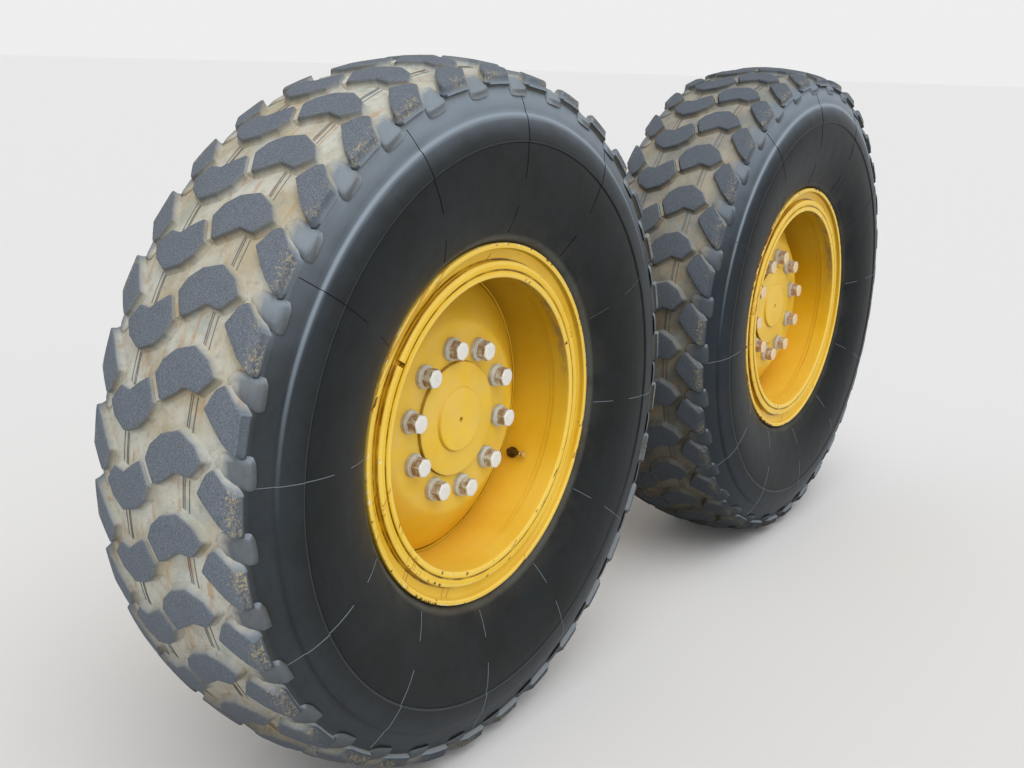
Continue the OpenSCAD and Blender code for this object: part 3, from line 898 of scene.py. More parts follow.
@dataclass(frozen=True)
class Plain(Finish):
    """A small part's finish: one colour, broken by grain, dust and wear."""

    colour: Colour = srgb(40, 40, 42)
    worn: Colour = srgb(90, 90, 92)
    metal: float = 0.0
    rough: float = 0.5
    lying: float = 0.5
    everywhere: float = 0.25
    dusty: Colour = srgb(150, 138, 112)

    def write(self, shader: Shader, surface: Node) -> None:
        """Writes the small part's colour and grain.

        Args:
            shader: The material's tree.
            surface: Its surface node.
        """
        place = shader.place()
        edges = Groups.edges(shader, 1.5 * MM)
        dust = Groups.dust(shader, place, self.lying, self.everywhere)
        colour = shader.mix(shader.noise(place, 60.0, 4.0), self.colour, self.worn)
        colour = shader.mix(shader.times(edges, 0.5), colour, self.worn)
        shader.feed(surface.inputs["Base Color"], shader.mix(dust, colour, self.dusty))
        surface.inputs["Metallic"].default_value = self.metal
        shader.feed(surface.inputs["Roughness"], shader.plus(self.rough, shader.times(dust, 0.35)))
        self.bump(shader, surface, shader.noise(place, 500.0, 2.0), 0.1 * MM)


@dataclass(frozen=True)
class ValveBrass(Finish):
    """A tyre valve: a dark dirty body with a bright brass cap."""

    tip: float
    cap: float = 12 * MM
    body: Colour = srgb(60, 42, 20)
    brass: Colour = srgb(236, 214, 146)
    grime: Colour = srgb(96, 76, 48)

    def write(self, shader: Shader, surface: Node) -> None:
        """Writes the colours from how far a place is inboard of the valve's tip.

        Args:
            shader: The material's tree.
            surface: Its surface node.
        """
        place = shader.place()
        inboard = shader.minus(self.tip, shader.split(place)[1])
        capped = shader.fall(inboard, self.cap - MM, self.cap)
        groove = shader.fall(shader.math("ABSOLUTE", shader.minus(inboard, self.cap * 0.5)), MM, 2 * MM)
        capped = shader.times(capped, shader.minus(1.0, shader.times(groove, 0.7)))
        colour = shader.mix(capped, self.body, self.brass)
        grime = shader.times(shader.noise(place, 160.0, 4.0), 0.3)
        shader.feed(surface.inputs["Base Color"], shader.mix(grime, colour, self.grime))
        shader.feed(surface.inputs["Metallic"], shader.times(capped, 0.4))
        surface.inputs["Roughness"].default_value = 0.35


@dataclass(frozen=True)
class Ground(Finish):
    """Pale matt studio floor."""

    colour: Colour = (0.8, 0.8, 0.8, 1.0)
    rough: float = 0.9
    gloss: float = 0.1

    def write(self, shader: Shader, surface: Node) -> None:
        """Writes the floor's plain colour.

        Args:
            shader: The material's tree.
            surface: Its surface node.
        """
        surface.inputs["Base Color"].default_value = self.colour
        surface.inputs["Roughness"].default_value = self.rough
        surface.inputs["Specular IOR Level"].default_value = self.gloss


class Geometry:
    """A Geometry Nodes tree that is written as nested calls."""

    def __init__(self, name: str, takes: Takes) -> None:
        """Starts a modifier tree.

        Args:
            name: The tree's name.
            takes: Input names with their socket kind and default, after the geometry.
        """
        self.tree = bpy.data.node_groups.new(name, "GeometryNodeTree")
        self.tree.is_modifier = True
        self.tree.interface.new_socket("Geometry", in_out="INPUT", socket_type="NodeSocketGeometry")
        for title, (kind, default) in takes.items():
            socket = self.tree.interface.new_socket(title, in_out="INPUT", socket_type="NodeSocket" + kind)
            if default is not None:
                socket.default_value = default
        self.tree.interface.new_socket("Geometry", in_out="OUTPUT", socket_type="NodeSocketGeometry")
        self.start = self.tree.nodes.new("NodeGroupInput")
        self.end = self.tree.nodes.new("NodeGroupOutput")

    def given(self, name: str) -> Socket:
        """Returns one of the tree's inputs."""
        return self.start.outputs[name]

    def node(self, kind: str, inputs: Inputs | None = None, **settings: object) -> Node:
        """Adds a node.

        Args:
            kind: The node's full type.
            inputs: Values or sockets for its inputs, by name or number.
            **settings: The node's own properties.

        Returns:
            The node.
        """
        made = self.tree.nodes.new(kind)
        for name, value in settings.items():
            setattr(made, name, value)
        for key, value in (inputs or {}).items():
            if isinstance(value, Socket):
                self.tree.links.new(value, made.inputs[key])
            else:
                made.inputs[key].default_value = value
        return made

    def math(self, how: str, a: object, b: object = 0.0) -> Socket:
        """Adds a Math node and returns its result."""
        return self.node("ShaderNodeMath", {0: a, 1: b}, operation=how).outputs[0]

    def finish(self, geometry: Socket, material: Socket) -> None:
        """Ends the tree: instances are made real and get their material.

        Args:
            geometry: The finished geometry.
            material: Its material.
        """
        real = self.node("GeometryNodeRealizeInstances", {"Geometry": geometry}).outputs[0]
        dressed = self.node("GeometryNodeSetMaterial", {"Geometry": real, "Material": material}).outputs[0]
        self.tree.links.new(dressed, self.end.inputs["Geometry"])


class Ring:
    """Copies of a piece round a wheel's axis, added to a base, with uneven wear."""

    NAME = "Pieces round an axis"

    @classmethod
    def tree(cls) -> bpy.types.NodeTree:
        """Builds the tree on its first use.

        Returns:
            The tree.
        """
        if cls.NAME in bpy.data.node_groups:
            return bpy.data.node_groups[cls.NAME]
        takes = {"Piece": ("Object", None), "Count": ("Int", 12), "Start": ("Float", 0.0),
                 "Ring Radius": ("Float", 0.0), "Facing": ("Float", 1.0), "Random Turn": ("Float", 0.0),
                 "Centre": ("Vector", (0.0, 0.0, 0.0)), "Wear": ("Float", 0.0), "Wear Scale": ("Float", 30.0),
                 "Seed": ("Int", 1), "Material": ("Material", None)}
        g = Geometry(cls.NAME, takes)
        index = g.node("GeometryNodeInputIndex").outputs[0]
        step = g.math("DIVIDE", 2 * math.pi, g.given("Count"))
        angle = g.math("ADD", g.given("Start"), g.math("MULTIPLY", index, step))
        reach = g.given("Ring Radius")
        parts = {0: g.math("MULTIPLY", g.math("COSINE", angle), reach),
                 2: g.math("MULTIPLY", g.math("SINE", angle), reach)}
        spot = g.node("ShaderNodeCombineXYZ", parts).outputs[0]
        points = g.node("GeometryNodePoints", {"Count": g.given("Count"), "Position": spot}).outputs[0]
        chance = g.node("FunctionNodeRandomValue", {"Seed": g.given("Seed"), "ID": index}, data_type="FLOAT")
        own = g.math("MULTIPLY", chance.outputs[1], g.given("Random Turn"))
        turn = g.math("SUBTRACT", own, g.math("MULTIPLY", angle, g.given("Facing")))
        piece = g.node("GeometryNodeObjectInfo", {"Object": g.given("Piece")}).outputs["Geometry"]
        rotation = g.node("ShaderNodeCombineXYZ", {1: turn}).outputs[0]
        copied = {"Points": points, "Instance": piece, "Rotation": rotation}
        copies = g.node("GeometryNodeInstanceOnPoints", copied).outputs[0]
        real = g.node("GeometryNodeRealizeInstances", {"Geometry": copies}).outputs[0]
        together = g.node("GeometryNodeJoinGeometry")
        g.tree.links.new(g.given("Geometry"), together.inputs[0])
        g.tree.links.new(real, together.inputs[0])
        where = g.node("GeometryNodeInputPosition").outputs[0]
        pattern = {"Vector": where, "Scale": g.given("Wear Scale"), "Detail": 2.0}
        noise = g.node("ShaderNodeTexNoise", pattern).outputs[1]
        kind = "ShaderNodeVectorMath"
        centred = g.node(kind, {0: noise, 1: (0.5, 0.5, 0.5)}, operation="SUBTRACT").outputs[0]
        moved = g.node(kind, {0: centred, "Scale": g.given("Wear")}, operation="SCALE").outputs[0]
        worn = {"Geometry": together.outputs[0], "Offset": moved}
        uneven = g.node("GeometryNodeSetPosition", worn).outputs[0]
        shifted = {"Geometry": uneven, "Translation": g.given("Centre")}
        g.finish(g.node("GeometryNodeTransform", shifted).outputs[0], g.given("Material"))
        return g.tree


class WeldBead:
    """A ripple-marked weld bead along the edges of a mesh path."""

    NAME = "Weld bead"

    @classmethod
    def tree(cls) -> bpy.types.NodeTree:
        """Builds the tree on its first use.

        Returns:
            The tree.
        """
        if cls.NAME in bpy.data.node_groups:
            return bpy.data.node_groups[cls.NAME]
        takes = {"Radius": ("Float", 0.005), "Ripple Length": ("Float", 0.006),
                 "Ripple Depth": ("Float", 0.18), "Sides": ("Int", 6), "Material": ("Material", None)}
        g = Geometry(cls.NAME, takes)
        curve = g.node("GeometryNodeMeshToCurve", {0: g.given("Geometry")}).outputs[0]
        cut = {"Curve": curve, "Length": g.math("MULTIPLY", g.given("Ripple Length"), 0.5)}
        fine = g.node("GeometryNodeResampleCurve", cut, mode="LENGTH").outputs[0]
        length = g.node("GeometryNodeSplineParameter").outputs["Length"]
        turns = g.math("DIVIDE", length, g.given("Ripple Length"))
        wave = g.math("SINE", g.math("MULTIPLY", turns, 2 * math.pi))
        swell = g.math("ADD", 1.0, g.math("MULTIPLY", wave, g.given("Ripple Depth")))
        profile = g.node("GeometryNodeCurvePrimitiveCircle", {"Resolution": g.given("Sides"), "Radius": 1.0})
        radius = g.math("MULTIPLY", g.given("Radius"), swell)
        swept = {"Curve": fine, "Profile Curve": profile.outputs[0], "Scale": radius}
        g.finish(g.node("GeometryNodeCurveToMesh", swept).outputs[0], g.given("Material"))
        return g.tree


def mesh_object(name: str, bm: Shape, sharp: float = SHARP) -> Thing:
    """Turns a bmesh into a smooth object with sharp edges past an angle.

    Args:
        name: The object's name.
        bm: The shape, which is freed.
        sharp: Angle in degrees past which an edge stays sharp.

    Returns:
        The object, linked to the scene.
    """
    mesh = bpy.data.meshes.new(name)
    bm.to_mesh(mesh)
    bm.free()
    mesh.polygons.foreach_set("use_smooth", [True] * len(mesh.polygons))
    mesh.set_sharp_from_angle(angle=math.radians(sharp))
    made = bpy.data.objects.new(name, mesh)
    bpy.context.scene.collection.objects.link(made)
    return made


def grown(name: str, base: Thing, tree: bpy.types.NodeTree, values: dict[str, object]) -> Thing:
    """Runs a Geometry Nodes tree on an object and keeps the plain mesh.

    Args:
        name: The new object's name.
        base: The object that carries the modifier, which is removed.
        tree: The tree to run.
        values: Values for its named inputs.

    Returns:
        A plain mesh object.
    """
    modifier = base.modifiers.new(tree.name, "NODES")
    modifier.node_group = tree
    for item in tree.interface.items_tree:
        if item.in_out == "INPUT" and item.name in values:
            modifier[item.identifier] = values[item.name]
    bpy.context.view_layer.update()
    evaluated = base.evaluated_get(bpy.context.evaluated_depsgraph_get())
    mesh = bpy.data.meshes.new_from_object(evaluated)
    mesh.name = name
    made = bpy.data.objects.new(name, mesh)
    bpy.context.scene.collection.objects.link(made)
    drop(base)
    return made


def drop(*objects: Thing) -> None:
    """Removes helper objects."""
    for item in objects:
        bpy.data.objects.remove(item)


def empty_mesh(name: str) -> Thing:
    """Makes an object with an empty mesh, to carry a tree that needs no base."""
    return mesh_object(name, bmesh.new())


def arc(centre: Point, radius: float, start: float, stop: float, steps: int) -> list[Point]:
    """Lists the points of an arc, with angles in degrees.

    Args:
        centre: The arc's centre.
        radius: Its radius.
        start: The first angle.
        stop: The last angle.
        steps: How many steps it takes.

    Returns:
        The points.
    """
    angles = [math.radians(start + (stop - start) * i / steps) for i in range(steps + 1)]
    return [(centre[0] + radius * math.cos(a), centre[1] + radius * math.sin(a)) for a in angles]


def filleted(points: Sequence[Point], radius: float, steps: int = 3) -> list[Point]:
    """Rounds every corner of a closed outline.

    Args:
        points: The outline's corners.
        radius: Largest radius of a corner, less where its sides are short.
        steps: Steps in each rounding.

    Returns:
        The rounded outline.
    """
    out: list[Point] = []
    for i, point in enumerate(points):
        here = Vector(point)
        before = Vector(points[i - 1]) - here
        after = Vector(points[(i + 1) % len(points)]) - here
        half = before.angle(after) / 2
        cut = min(radius / math.tan(half), before.length * 0.45, after.length * 0.45) if half < 1.5 else 0.0
        if cut < TINY:
            out.append(point)
            continue
        first = here + before.normalized() * cut
        last = here + after.normalized() * cut
        for k in range(steps + 1):
            t = k / steps
            spot = first * (1 - t) ** 2 + here * 2 * t * (1 - t) + last * t ** 2
            out.append((spot.x, spot.y))
    return out


def offset(points: Sequence[Point], by: float) -> list[Point]:
    """Moves each side of a closed outline outwards, with short mitres.

    Args:
        points: The outline.
        by: How far outwards, or inwards if negative.

    Returns:
        The moved outline.
    """
    area = sum(a[0] * b[1] - b[0] * a[1] for a, b in zip(points, list(points[1:]) + [points[0]]))
    sign = 1.0 if area > 0 else -1.0
    out: list[Point] = []
    for i, point in enumerate(points):
        here = Vector(point)
        one = (here - Vector(points[i - 1])).normalized()
        two = (Vector(points[(i + 1) % len(points)]) - here).normalized()
        normal = Vector((one.y + two.y, -one.x - two.x)) * sign
        normal.normalize()
        across = max(0.6, normal.dot(Vector((one.y, -one.x)) * sign))
        spot = here + normal * (by / across)
        out.append((spot.x, spot.y))
    return out


def lathe(name: str, profile: Sequence[Point], centre: Vector, steps: int, start: float = 0.0,
          sweep: float = 360.0, closed: bool = True, marks: dict[Mark, Sequence[float]] | None = None,
          sharp: float = SHARP) -> Thing:
    """Turns a profile of (radius, y) points about the wheel's axis.

    Args:
        name: The object's name.
        profile: The profile's points.
        centre: Where the axis is and where y counts from.
        steps: Steps for a full turn.
        start: First angle in degrees, from forwards towards the top.
        sweep: How far it turns, in degrees.
        closed: Whether the profile's ends meet.
        marks: Values for each profile point, by mark.
        sharp: Angle past which an edge stays sharp.

    Returns:
        The object.
    """
    bm = bmesh.new()
    layers = {mark: bm.verts.layers.float.new(mark.value) for mark in (marks or {})}
    whole = abs(sweep - 360.0) < TINY
    count = max(2, round(steps * sweep / 360.0))
    rings = []
    for k in range(count if whole else count + 1):
        angle = math.radians(start + sweep * k / count)
        ring = []
        for i, (radius, out) in enumerate(profile):
            vert = bm.verts.new(centre + Vector((radius * math.cos(angle), out, radius * math.sin(angle))))
            for mark, layer in layers.items():
                vert[layer] = marks[mark][i]
            ring.append(vert)
        rings.append(ring)
    pairs = list(zip(rings, rings[1:])) + ([(rings[-1], rings[0])] if whole else [])
    last = len(profile) if closed else len(profile) - 1
    for one, two in pairs:
        for i in range(last):
            j = (i + 1) % len(profile)
            bm.faces.new((one[i], one[j], two[j], two[i]))
    if not whole:
        bm.faces.new(rings[0])
        bm.faces.new(list(reversed(rings[-1])))
    bmesh.ops.remove_doubles(bm, verts=bm.verts, dist=TINY)
    bmesh.ops.recalc_face_normals(bm, faces=bm.faces)
    return mesh_object(name, bm, sharp)


def stacked(bm: Shape, rings: Sequence[Sequence[Vector]], marks: dict[Mark, Sequence[float]],
            floor: bool = False) -> None:
    """Adds a closed shape through rings of points, with a face on the last ring.

    Args:
        bm: The mesh to add to.
        rings: Rings with the same number of points each.
        marks: Values for each ring, by mark.
        floor: Whether the first ring gets a face too.
    """
    layers = {}
    for mark in marks:
        layers[mark] = bm.verts.layers.float.get(mark.value) or bm.verts.layers.float.new(mark.value)
    made = []
    for i, ring in enumerate(rings):
        verts = [bm.verts.new(point) for point in ring]
        for mark, layer in layers.items():
            for vert in verts:
                vert[layer] = marks[mark][i]
        made.append(verts)
    for one, two in zip(made, made[1:]):
        for i in range(len(one)):
            j = (i + 1) % len(one)
            bm.faces.new((one[i], one[j], two[j], two[i]))
    bm.faces.new(made[-1])
    if floor:
        bm.faces.new(list(reversed(made[0])))


def ride(piece: Thing, body: str, slot: Slot, finish: Finish, nodes: Sequence[str] = ()) -> None:
    """Puts a piece on its body with its finish, and hides the CAD nodes that it stands for.

    Args:
        piece: The object.
        body: The CAD body that carries it.
        slot: The record's material slot. It is not used.
        finish: The finish for all its faces.
        nodes: The CAD nodes that it replaces.
    """
    piece.data.materials.clear()
    piece.data.materials.append(finish.material())
    if nodes:
        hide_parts(*nodes)
    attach(piece, body)
    LOG.info("%s: %d faces on %s", piece.name, len(piece.data.polygons), body)


def dress(node: str, finish: Finish) -> None:
    """Gives a CAD node its finish.

    Args:
        node: The node's name.
        finish: Its finish.
    """
    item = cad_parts[node]
    for spot in item.material_slots:
        spot.material = finish.material()
    LOG.info("%s: %s", node, finish.name)


@dataclass(frozen=True)
class WheelFacts:
    """What differs between the two wheels. Angles are in degrees."""

    name: str
    bolt_angle: float
    gap_angle: float
    tread_angle: float
    flash_angle: float
    dustiness: float
    # How chalky the lug tops are; below 1 they darken, partly as painted shade.
    chalk_and_shade: float
    # Painted shade on the lower tread: its strength and the height where it ends.
    tread_shade: float
    shade_ends_at: float
    dust_colour: Colour
    bolt_rust: Colour
    bolt_bright: Colour


@dataclass
class WheelPlace:
    """Where a wheel is and how large it is, read from the CAD frame."""

    facts: WheelFacts
    centre: Vector = field(init=False)
    flange_y: float = field(init=False)
    flange_r: float = field(init=False)
    tyre_y: float = field(init=False)
    tyre_half: float = field(init=False)
    tyre_r: float = field(init=False)
    pad_y: float = field(init=False)

    def __post_init__(self) -> None:
        """Reads the wheel's boxes."""
        ring_low, ring_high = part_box(self.node("side_ring"))
        tyre_low, tyre_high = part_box(self.node("tyre"))
        bolts_low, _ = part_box(self.node("wheel_bolts"))
        self.centre = Vector(((ring_low.x + ring_high.x) / 2, 0.0, (ring_low.z + ring_high.z) / 2))
        self.flange_y = ring_high.y
        self.flange_r = (ring_high.x - ring_low.x) / 2
        self.tyre_y = (tyre_low.y + tyre_high.y) / 2
        self.tyre_half = (tyre_high.y - tyre_low.y) / 2
        self.tyre_r = (tyre_high.z - tyre_low.z) / 2
        self.pad_y = bolts_low.y - SEAT_GAP

    @property
    def body(self) -> str:
        """Name of the wheel's CAD body."""
        return self.facts.name + "_wheel"

    def node(self, part: str) -> str:
        """Name of one of the wheel's CAD nodes."""
        return f"{self.facts.name}_{part}"

    def at(self, out: float) -> Vector:
        """The point of the wheel's axis at a y."""
        return self.centre + Vector((0.0, out, 0.0))


@dataclass
class TyreSizes:
    """Sizes of the tyre besides those in the frame."""

    pitches: int = 33
    crown_drop: float = 27 * MM
    tread_half: float = 160 * MM
    lug_height: float = 15 * MM
    shoulder_fall: float = 12 * MM
    bead_half: float = 126.7 * MM
    bead_foot: float = 305.1 * MM
    clamp_rise: float = 10 * MM
    clamp_reach: float = 28 * MM
    bead_curl: float = 19 * MM
    rib_width: float = 46 * MM
    rib_rise: float = 2.5 * MM
    rib_above_bulge: float = 30 * MM
    bulge_drop: float = 9 * MM
    turn_at: float = 30 * MM
    segments: int = 264
    flash_lines: int = 12
    flash_from: float = 462 * MM
    rim_flash_from: float = 364 * MM
    rim_flash_to: float = 420 * MM
    wall: float = 22 * MM
    unevenness: float = 1.6 * MM
    lug_corner: float = 5 * MM
    strip_around: float = 22 * MM
    strip_across: float = 26 * MM
    bridge_strip: float = 16 * MM
    scraped_from: float = 155 * MM
    scraped_depth: float = 14 * MM
    clean_from: float = 157 * MM
    clean_fade: float = 10 * MM
    lobe_clean_from: float = 146 * MM
    lobe_clean_fade: float = 15 * MM


@dataclass
class Tyre:
    """Block-tread tyre: lathe-turned carcass with lugs, lobes and flash lines.

    Outlines on the flat tread are in millimetres, around it and across it from its middle.
    """

    place: WheelPlace
    size: TyreSizes = field(default_factory=TyreSizes)

    CENTRE_LUG = ((-6, 108), (22, 84), (18, 58), (34, 36), (46, 16),
                  (8, -4), (-16, 6), (-36, 28), (-47, 62), (-30, 92))
    SHOULDER_LUG = ((42, 101), (88, 137), (110, 162), (40, 162), (0, 128), (9, 116))
    ROOT_HALF = 152 * MM
    BRIDGE = ((46, 16), (8, -4), (14, -16), (52, 4))

    # Outline of a lobe: around, across and radius.
    LOBE = ((-10, 119, 650), (-26, 131, 648), (-27, 148, 637), (-23, 163, 626), (-12, 167, 622),
            (14, 168, 620), (30, 167, 620), (34, 163, 623), (28, 151, 635), (12, 135, 646))
    LOBE_TOP = 636
    PITCH_R = 680 * MM
    LEAST_DUST = 0.04
    SCRAPED = 0.62

    # Groove floor: distance from the middle, extra depth and dust. Only the outermost points differ.
    FLOOR = ((150, 2.5, 0.45), (141, 0, 0.85)) + tuple(
        (out, 0, 1.0) for out in (132, 122, 112, 100, 88, 76, 64, 52, 40, 26, 13, 0))

    # Rings of a lobe: how far each has drawn in, and its rise in millimetres.
    LOBE_RINGS = ((0.0, -6.0), (0.0, 0.5), (0.06, 2.6), (0.15, 4.0), (0.5, 5.0))

    # Distances of the moulded lines from the tread's middle.
    GROOVE_LINES = (64.0, 67.5, 76.0)

    # Cross-section of a flash line: half width and rise.
    FLASH = ((0.9, -1.0), (0.45, 0.75), (-0.45, 0.75), (-0.9, -1.0))

    def crown(self, out: float) -> float:
        """Radius over the lugs at a distance from the tyre's middle."""
        return self.place.tyre_r - self.size.crown_drop * (out / self.size.tread_half) ** 2

    def build(self) -> None:
        """Builds the tyre and stands it in for the CAD tyre."""
        carcass = self.carcass()
        pitch = self.pitch()
        facts = self.place.facts
        values = {"Piece": pitch, "Count": self.size.pitches, "Start": math.radians(facts.tread_angle),
                  "Wear": self.size.unevenness, "Wear Scale": 34.0, "Seed": 3}
        treaded = grown(self.place.node("tread"), carcass, Ring.tree(), values)
        drop(pitch)
        flash = self.flash_line()
        finish = Rubber(self.place.node("rubber"), self.place.at(self.place.tyre_y), facts.dustiness,
                        facts.chalk_and_shade, facts.tread_shade, facts.shade_ends_at, facts.dust_colour)
        values = {"Piece": flash, "Count": self.size.flash_lines, "Start": math.radians(facts.flash_angle),
                  "Centre": self.place.at(self.place.tyre_y), "Material": finish.material()}
        piece = grown(self.place.node("tyre_dressed"), treaded, Ring.tree(), values)
        drop(flash)
        ride(piece, self.place.body, Slot.RUBBER, finish, [self.place.node("tyre")])

    def side_outline(self) -> list[tuple[float, float, float]]:
        """Lists the outboard half from the bead to the tread's middle, as radius, y and dust.

        Returns:
            The points.
        """
        s, p = self.size, self.place
        clamp_r, clamp_half = p.flange_r + s.clamp_rise, s.bead_half + s.clamp_reach
        bulge_r = (p.flange_r + p.tyre_r) / 2 - s.bulge_drop
        foot_r = self.crown(s.tread_half) - s.lug_height - s.shoulder_fall
        lower = self.bow(bulge_r - clamp_r, p.tyre_half - clamp_half)
        upper = self.bow(foot_r - bulge_r, p.tyre_half - s.tread_half - MM)

        def wall(radius: float) -> float:
            """Half width of the sidewall at a radius."""
            bow = lower if radius < bulge_r else upper
            return p.tyre_half - bow + math.sqrt(bow * bow - (radius - bulge_r) ** 2)

        rib = bulge_r + s.rib_above_bulge
        points = [(s.bead_foot, s.bead_half - 30 * MM, 0.0), (s.bead_foot, s.bead_half, 0.0)]
        centre = (p.flange_r - s.bead_curl, s.bead_half + SEAT_GAP + s.bead_curl)
        points += [(r, w, 0.1) for r, w in arc(centre, s.bead_curl + SEAT_GAP, 270, 350, 8)]
        points += [(clamp_r, wall(clamp_r), 0.12), (clamp_r + 3 * MM, wall(clamp_r + 3 * MM), 0.1)]
        points += [(r, wall(r), 0.02) for r in self.spread(clamp_r + 9 * MM, rib - 5 * MM, 16)]
        points += [(rib - 2.2 * MM, wall(rib) - 0.2 * MM, 0.0),
                   (rib - 0.9 * MM, wall(rib) + 0.7 * s.rib_rise, 0.0),
                   (rib + 0.8 * MM, wall(rib) + s.rib_rise, 0.0)]
        crease = rib + s.rib_width
        points += [(r, wall(r) + s.rib_rise, 0.03) for r in self.spread(rib + 5 * MM, crease, 5)]
        points += [(crease + 3 * MM, wall(crease) - 0.4 * MM, 0.03),
                   (crease + 6 * MM, wall(crease + 6 * MM), 0.03)]
        points += [(r, wall(r), 0.04) for r in self.spread(crease + 12 * MM, foot_r - 4 * MM, 4)]
        points += [(foot_r + 1 * MM, s.tread_half + 0.5 * MM, 0.1),
                   (foot_r + 5 * MM, s.tread_half - 4 * MM, 0.25)]
        points += [(self.crown(w * MM) - s.lug_height - deeper * MM, w * MM, dust)
                   for w, deeper, dust in self.FLOOR]
        return points

    @staticmethod
    def bow(reach: float, fall: float) -> float:
        """Radius of the arc that leaves a wall square to it and falls over a reach."""
        return (reach * reach + fall * fall) / (2 * fall)

    @staticmethod
    def spread(low: float, high: float, steps: int) -> list[float]:
        """Spreads values evenly from low to high."""
        return [low + (high - low) * i / steps for i in range(steps + 1)]

    def carcass(self) -> Thing:
        """Turns the carcass, with its hollow inside.

        Returns:
            The carcass.
        """
        s, p = self.size, self.place
        outer = self.side_outline()
        mirrored = [(r, -w, d) for r, w, d in reversed(outer[:-1])]

        # The hollow follows the outside at about the thickness of the walls.
        widest = p.tyre_half - s.wall
        inner = [(p.flange_r, 118 * MM, 0.0), (430 * MM, widest, 0.0), (560 * MM, widest, 0.0),
                 (self.crown(s.tread_half) - 50 * MM, s.tread_half - 40 * MM, 0.0),
                 (p.tyre_r - 41 * MM, 60 * MM, 0.0)]
        hollow = [(r, -w, d) for r, w, d in inner] + list(reversed(inner))
        ring = outer + mirrored + hollow
        marks = {Mark.DUST: [item[2] for item in ring], Mark.WORN: [0.0] * len(ring)}
        profile = [(r, w) for r, w, _ in ring]
        return lathe("carcass", profile, Vector((0, 0, 0)), s.segments, marks=marks, sharp=50.0)

    def curved(self, around: float, out: float, radius: float) -> Vector:
        """Places a point of a flat pitch on the round tyre."""
        angle = -around / self.PITCH_R
        return Vector((radius * math.cos(angle), out, radius * math.sin(angle)))

    def pitch(self) -> Thing:
        """Makes one pitch of the tread, outer and inner half.

        Returns:
            The pitch.
        """
        bm = bmesh.new()
        for flip in (False, True):
            self.lug(bm, self.CENTRE_LUG, flip, 1.0)
            self.lug(bm, self.SHOULDER_LUG, flip, 0.7)
            self.lobe(bm, flip)
            self.groove_lines(bm, flip)
        self.bridge(bm)
        bmesh.ops.recalc_face_normals(bm, faces=bm.faces)
        return mesh_object("pitch", bm, 60.0)

    def turned(self, point: Sequence[float], flip: bool) -> tuple[float, float]:
        """Turns a point of the outer half to the inner half, from millimetres to metres."""
        around, out = point[0] * MM, point[1] * MM
        return (2 * self.size.turn_at - around, -out) if flip else (around, out)

    def lug(self, bm: Shape, outline: Sequence[Point], flip: bool, flare: float) -> None:
        """Adds one lug: its flared walls, worn edge and top, cut up so that it follows the tyre.

        Args:
            bm: The pitch.
            outline: The lug's outline in millimetres.
            flip: Whether it is on the inner half.
            flare: How much its foot spreads.
        """
        base = filleted([self.turned(p, flip) for p in outline], self.size.lug_corner, 3)

        # For each ring: inset and depth in millimetres, dust, wear, and how much dust comes off the walls
        # that face the positive way round the tyre, which paints shade on them.
        levels = ((-6.0, 30.0, 0.9, 0.0, 0.0), (-7.5 * flare, 16.0, 0.95, 0.0, 0.0),
                  (-4.0 * flare, 12.5, 0.9, 0.0, 0.25), (-2.0 * flare, 8.5, 0.74, 0.05, 0.5),
                  (-0.8, 5.0, 0.55, 0.15, 0.72), (0.0, 2.0, 0.3, 0.6, 0.55), (0.5, 0.7, 0.14, 1.0, 0.3),
                  (2.2, 0.0, 0.03, 1.0, 0.0))
        part = bmesh.new()
        rings = [[Vector((u, w, -depth * MM)) for u, w in offset(base, -inset * MM)]
                 for inset, depth, *_ in levels]
        for point in rings[0]:
            point.y = max(-self.ROOT_HALF, min(self.ROOT_HALF, point.y))
        marks = {Mark.DUST: [level[2] for level in levels], Mark.WORN: [level[3] for level in levels]}
        stacked(part, rings, marks)
        layer = part.verts.layers.float[Mark.DUST.value]
        outward = [far[0] - near[0] for near, far in zip(base, offset(base, MM))]
        # Walls that face the positive way round the tyre lose dust, so that their dark rubber shows as
        # painted shade.
        for i, vert in enumerate(part.verts):
            shaded_wall = max(0.0, min(1.0, outward[i % len(base)] / MM))
            vert[layer] *= 1.0 - shaded_wall * levels[i // len(base)][4]
        s = self.size
        self.cut(part, 0, s.strip_around)
        self.cut(part, 1, s.strip_across)
        scraped = part.verts.layers.float[Mark.WORN.value]
        for vert in part.verts:
            around, out, depth = vert.co
            vert[layer] *= max(self.LEAST_DUST, min(1.0, (s.clean_from - abs(out)) / s.clean_fade))
            if abs(out) > s.scraped_from and depth > -s.scraped_depth:
                vert[scraped] = max(vert[scraped], self.SCRAPED)
            vert.co = self.curved(around, out, self.crown(out) + depth)
        self.add(bm, part)

    @staticmethod
    def cut(part: Shape, axis: int, width: float) -> None:
        """Cuts a flat part in strips across an axis.

        Args:
            part: The flat part.
            axis: 0 for around, 1 for across.
            width: Least width of a strip.
        """
        low = min(vert.co[axis] for vert in part.verts)
        high = max(vert.co[axis] for vert in part.verts)
        count = int((high - low) / width)
        normal = Vector((1, 0, 0)) if axis == 0 else Vector((0, 1, 0))
        for i in range(1, count + 1):
            at = normal * (low + (high - low) * i / (count + 1))
            items = part.verts[:] + part.edges[:] + part.faces[:]
            bmesh.ops.bisect_plane(part, geom=items, plane_co=at, plane_no=normal, dist=0.2 * MM)

    @staticmethod
    def add(bm: Shape, part: Shape) -> None:
        """Adds a part to a larger mesh and frees it.

        Args:
            bm: The larger mesh.
            part: The part.
        """
        mesh = bpy.data.meshes.new("part")
        part.to_mesh(mesh)
        part.free()
        for mark in Mark:
            if bm.verts.layers.float.get(mark.value) is None:
                bm.verts.layers.float.new(mark.value)
        bm.from_mesh(mesh)
        bpy.data.meshes.remove(mesh)

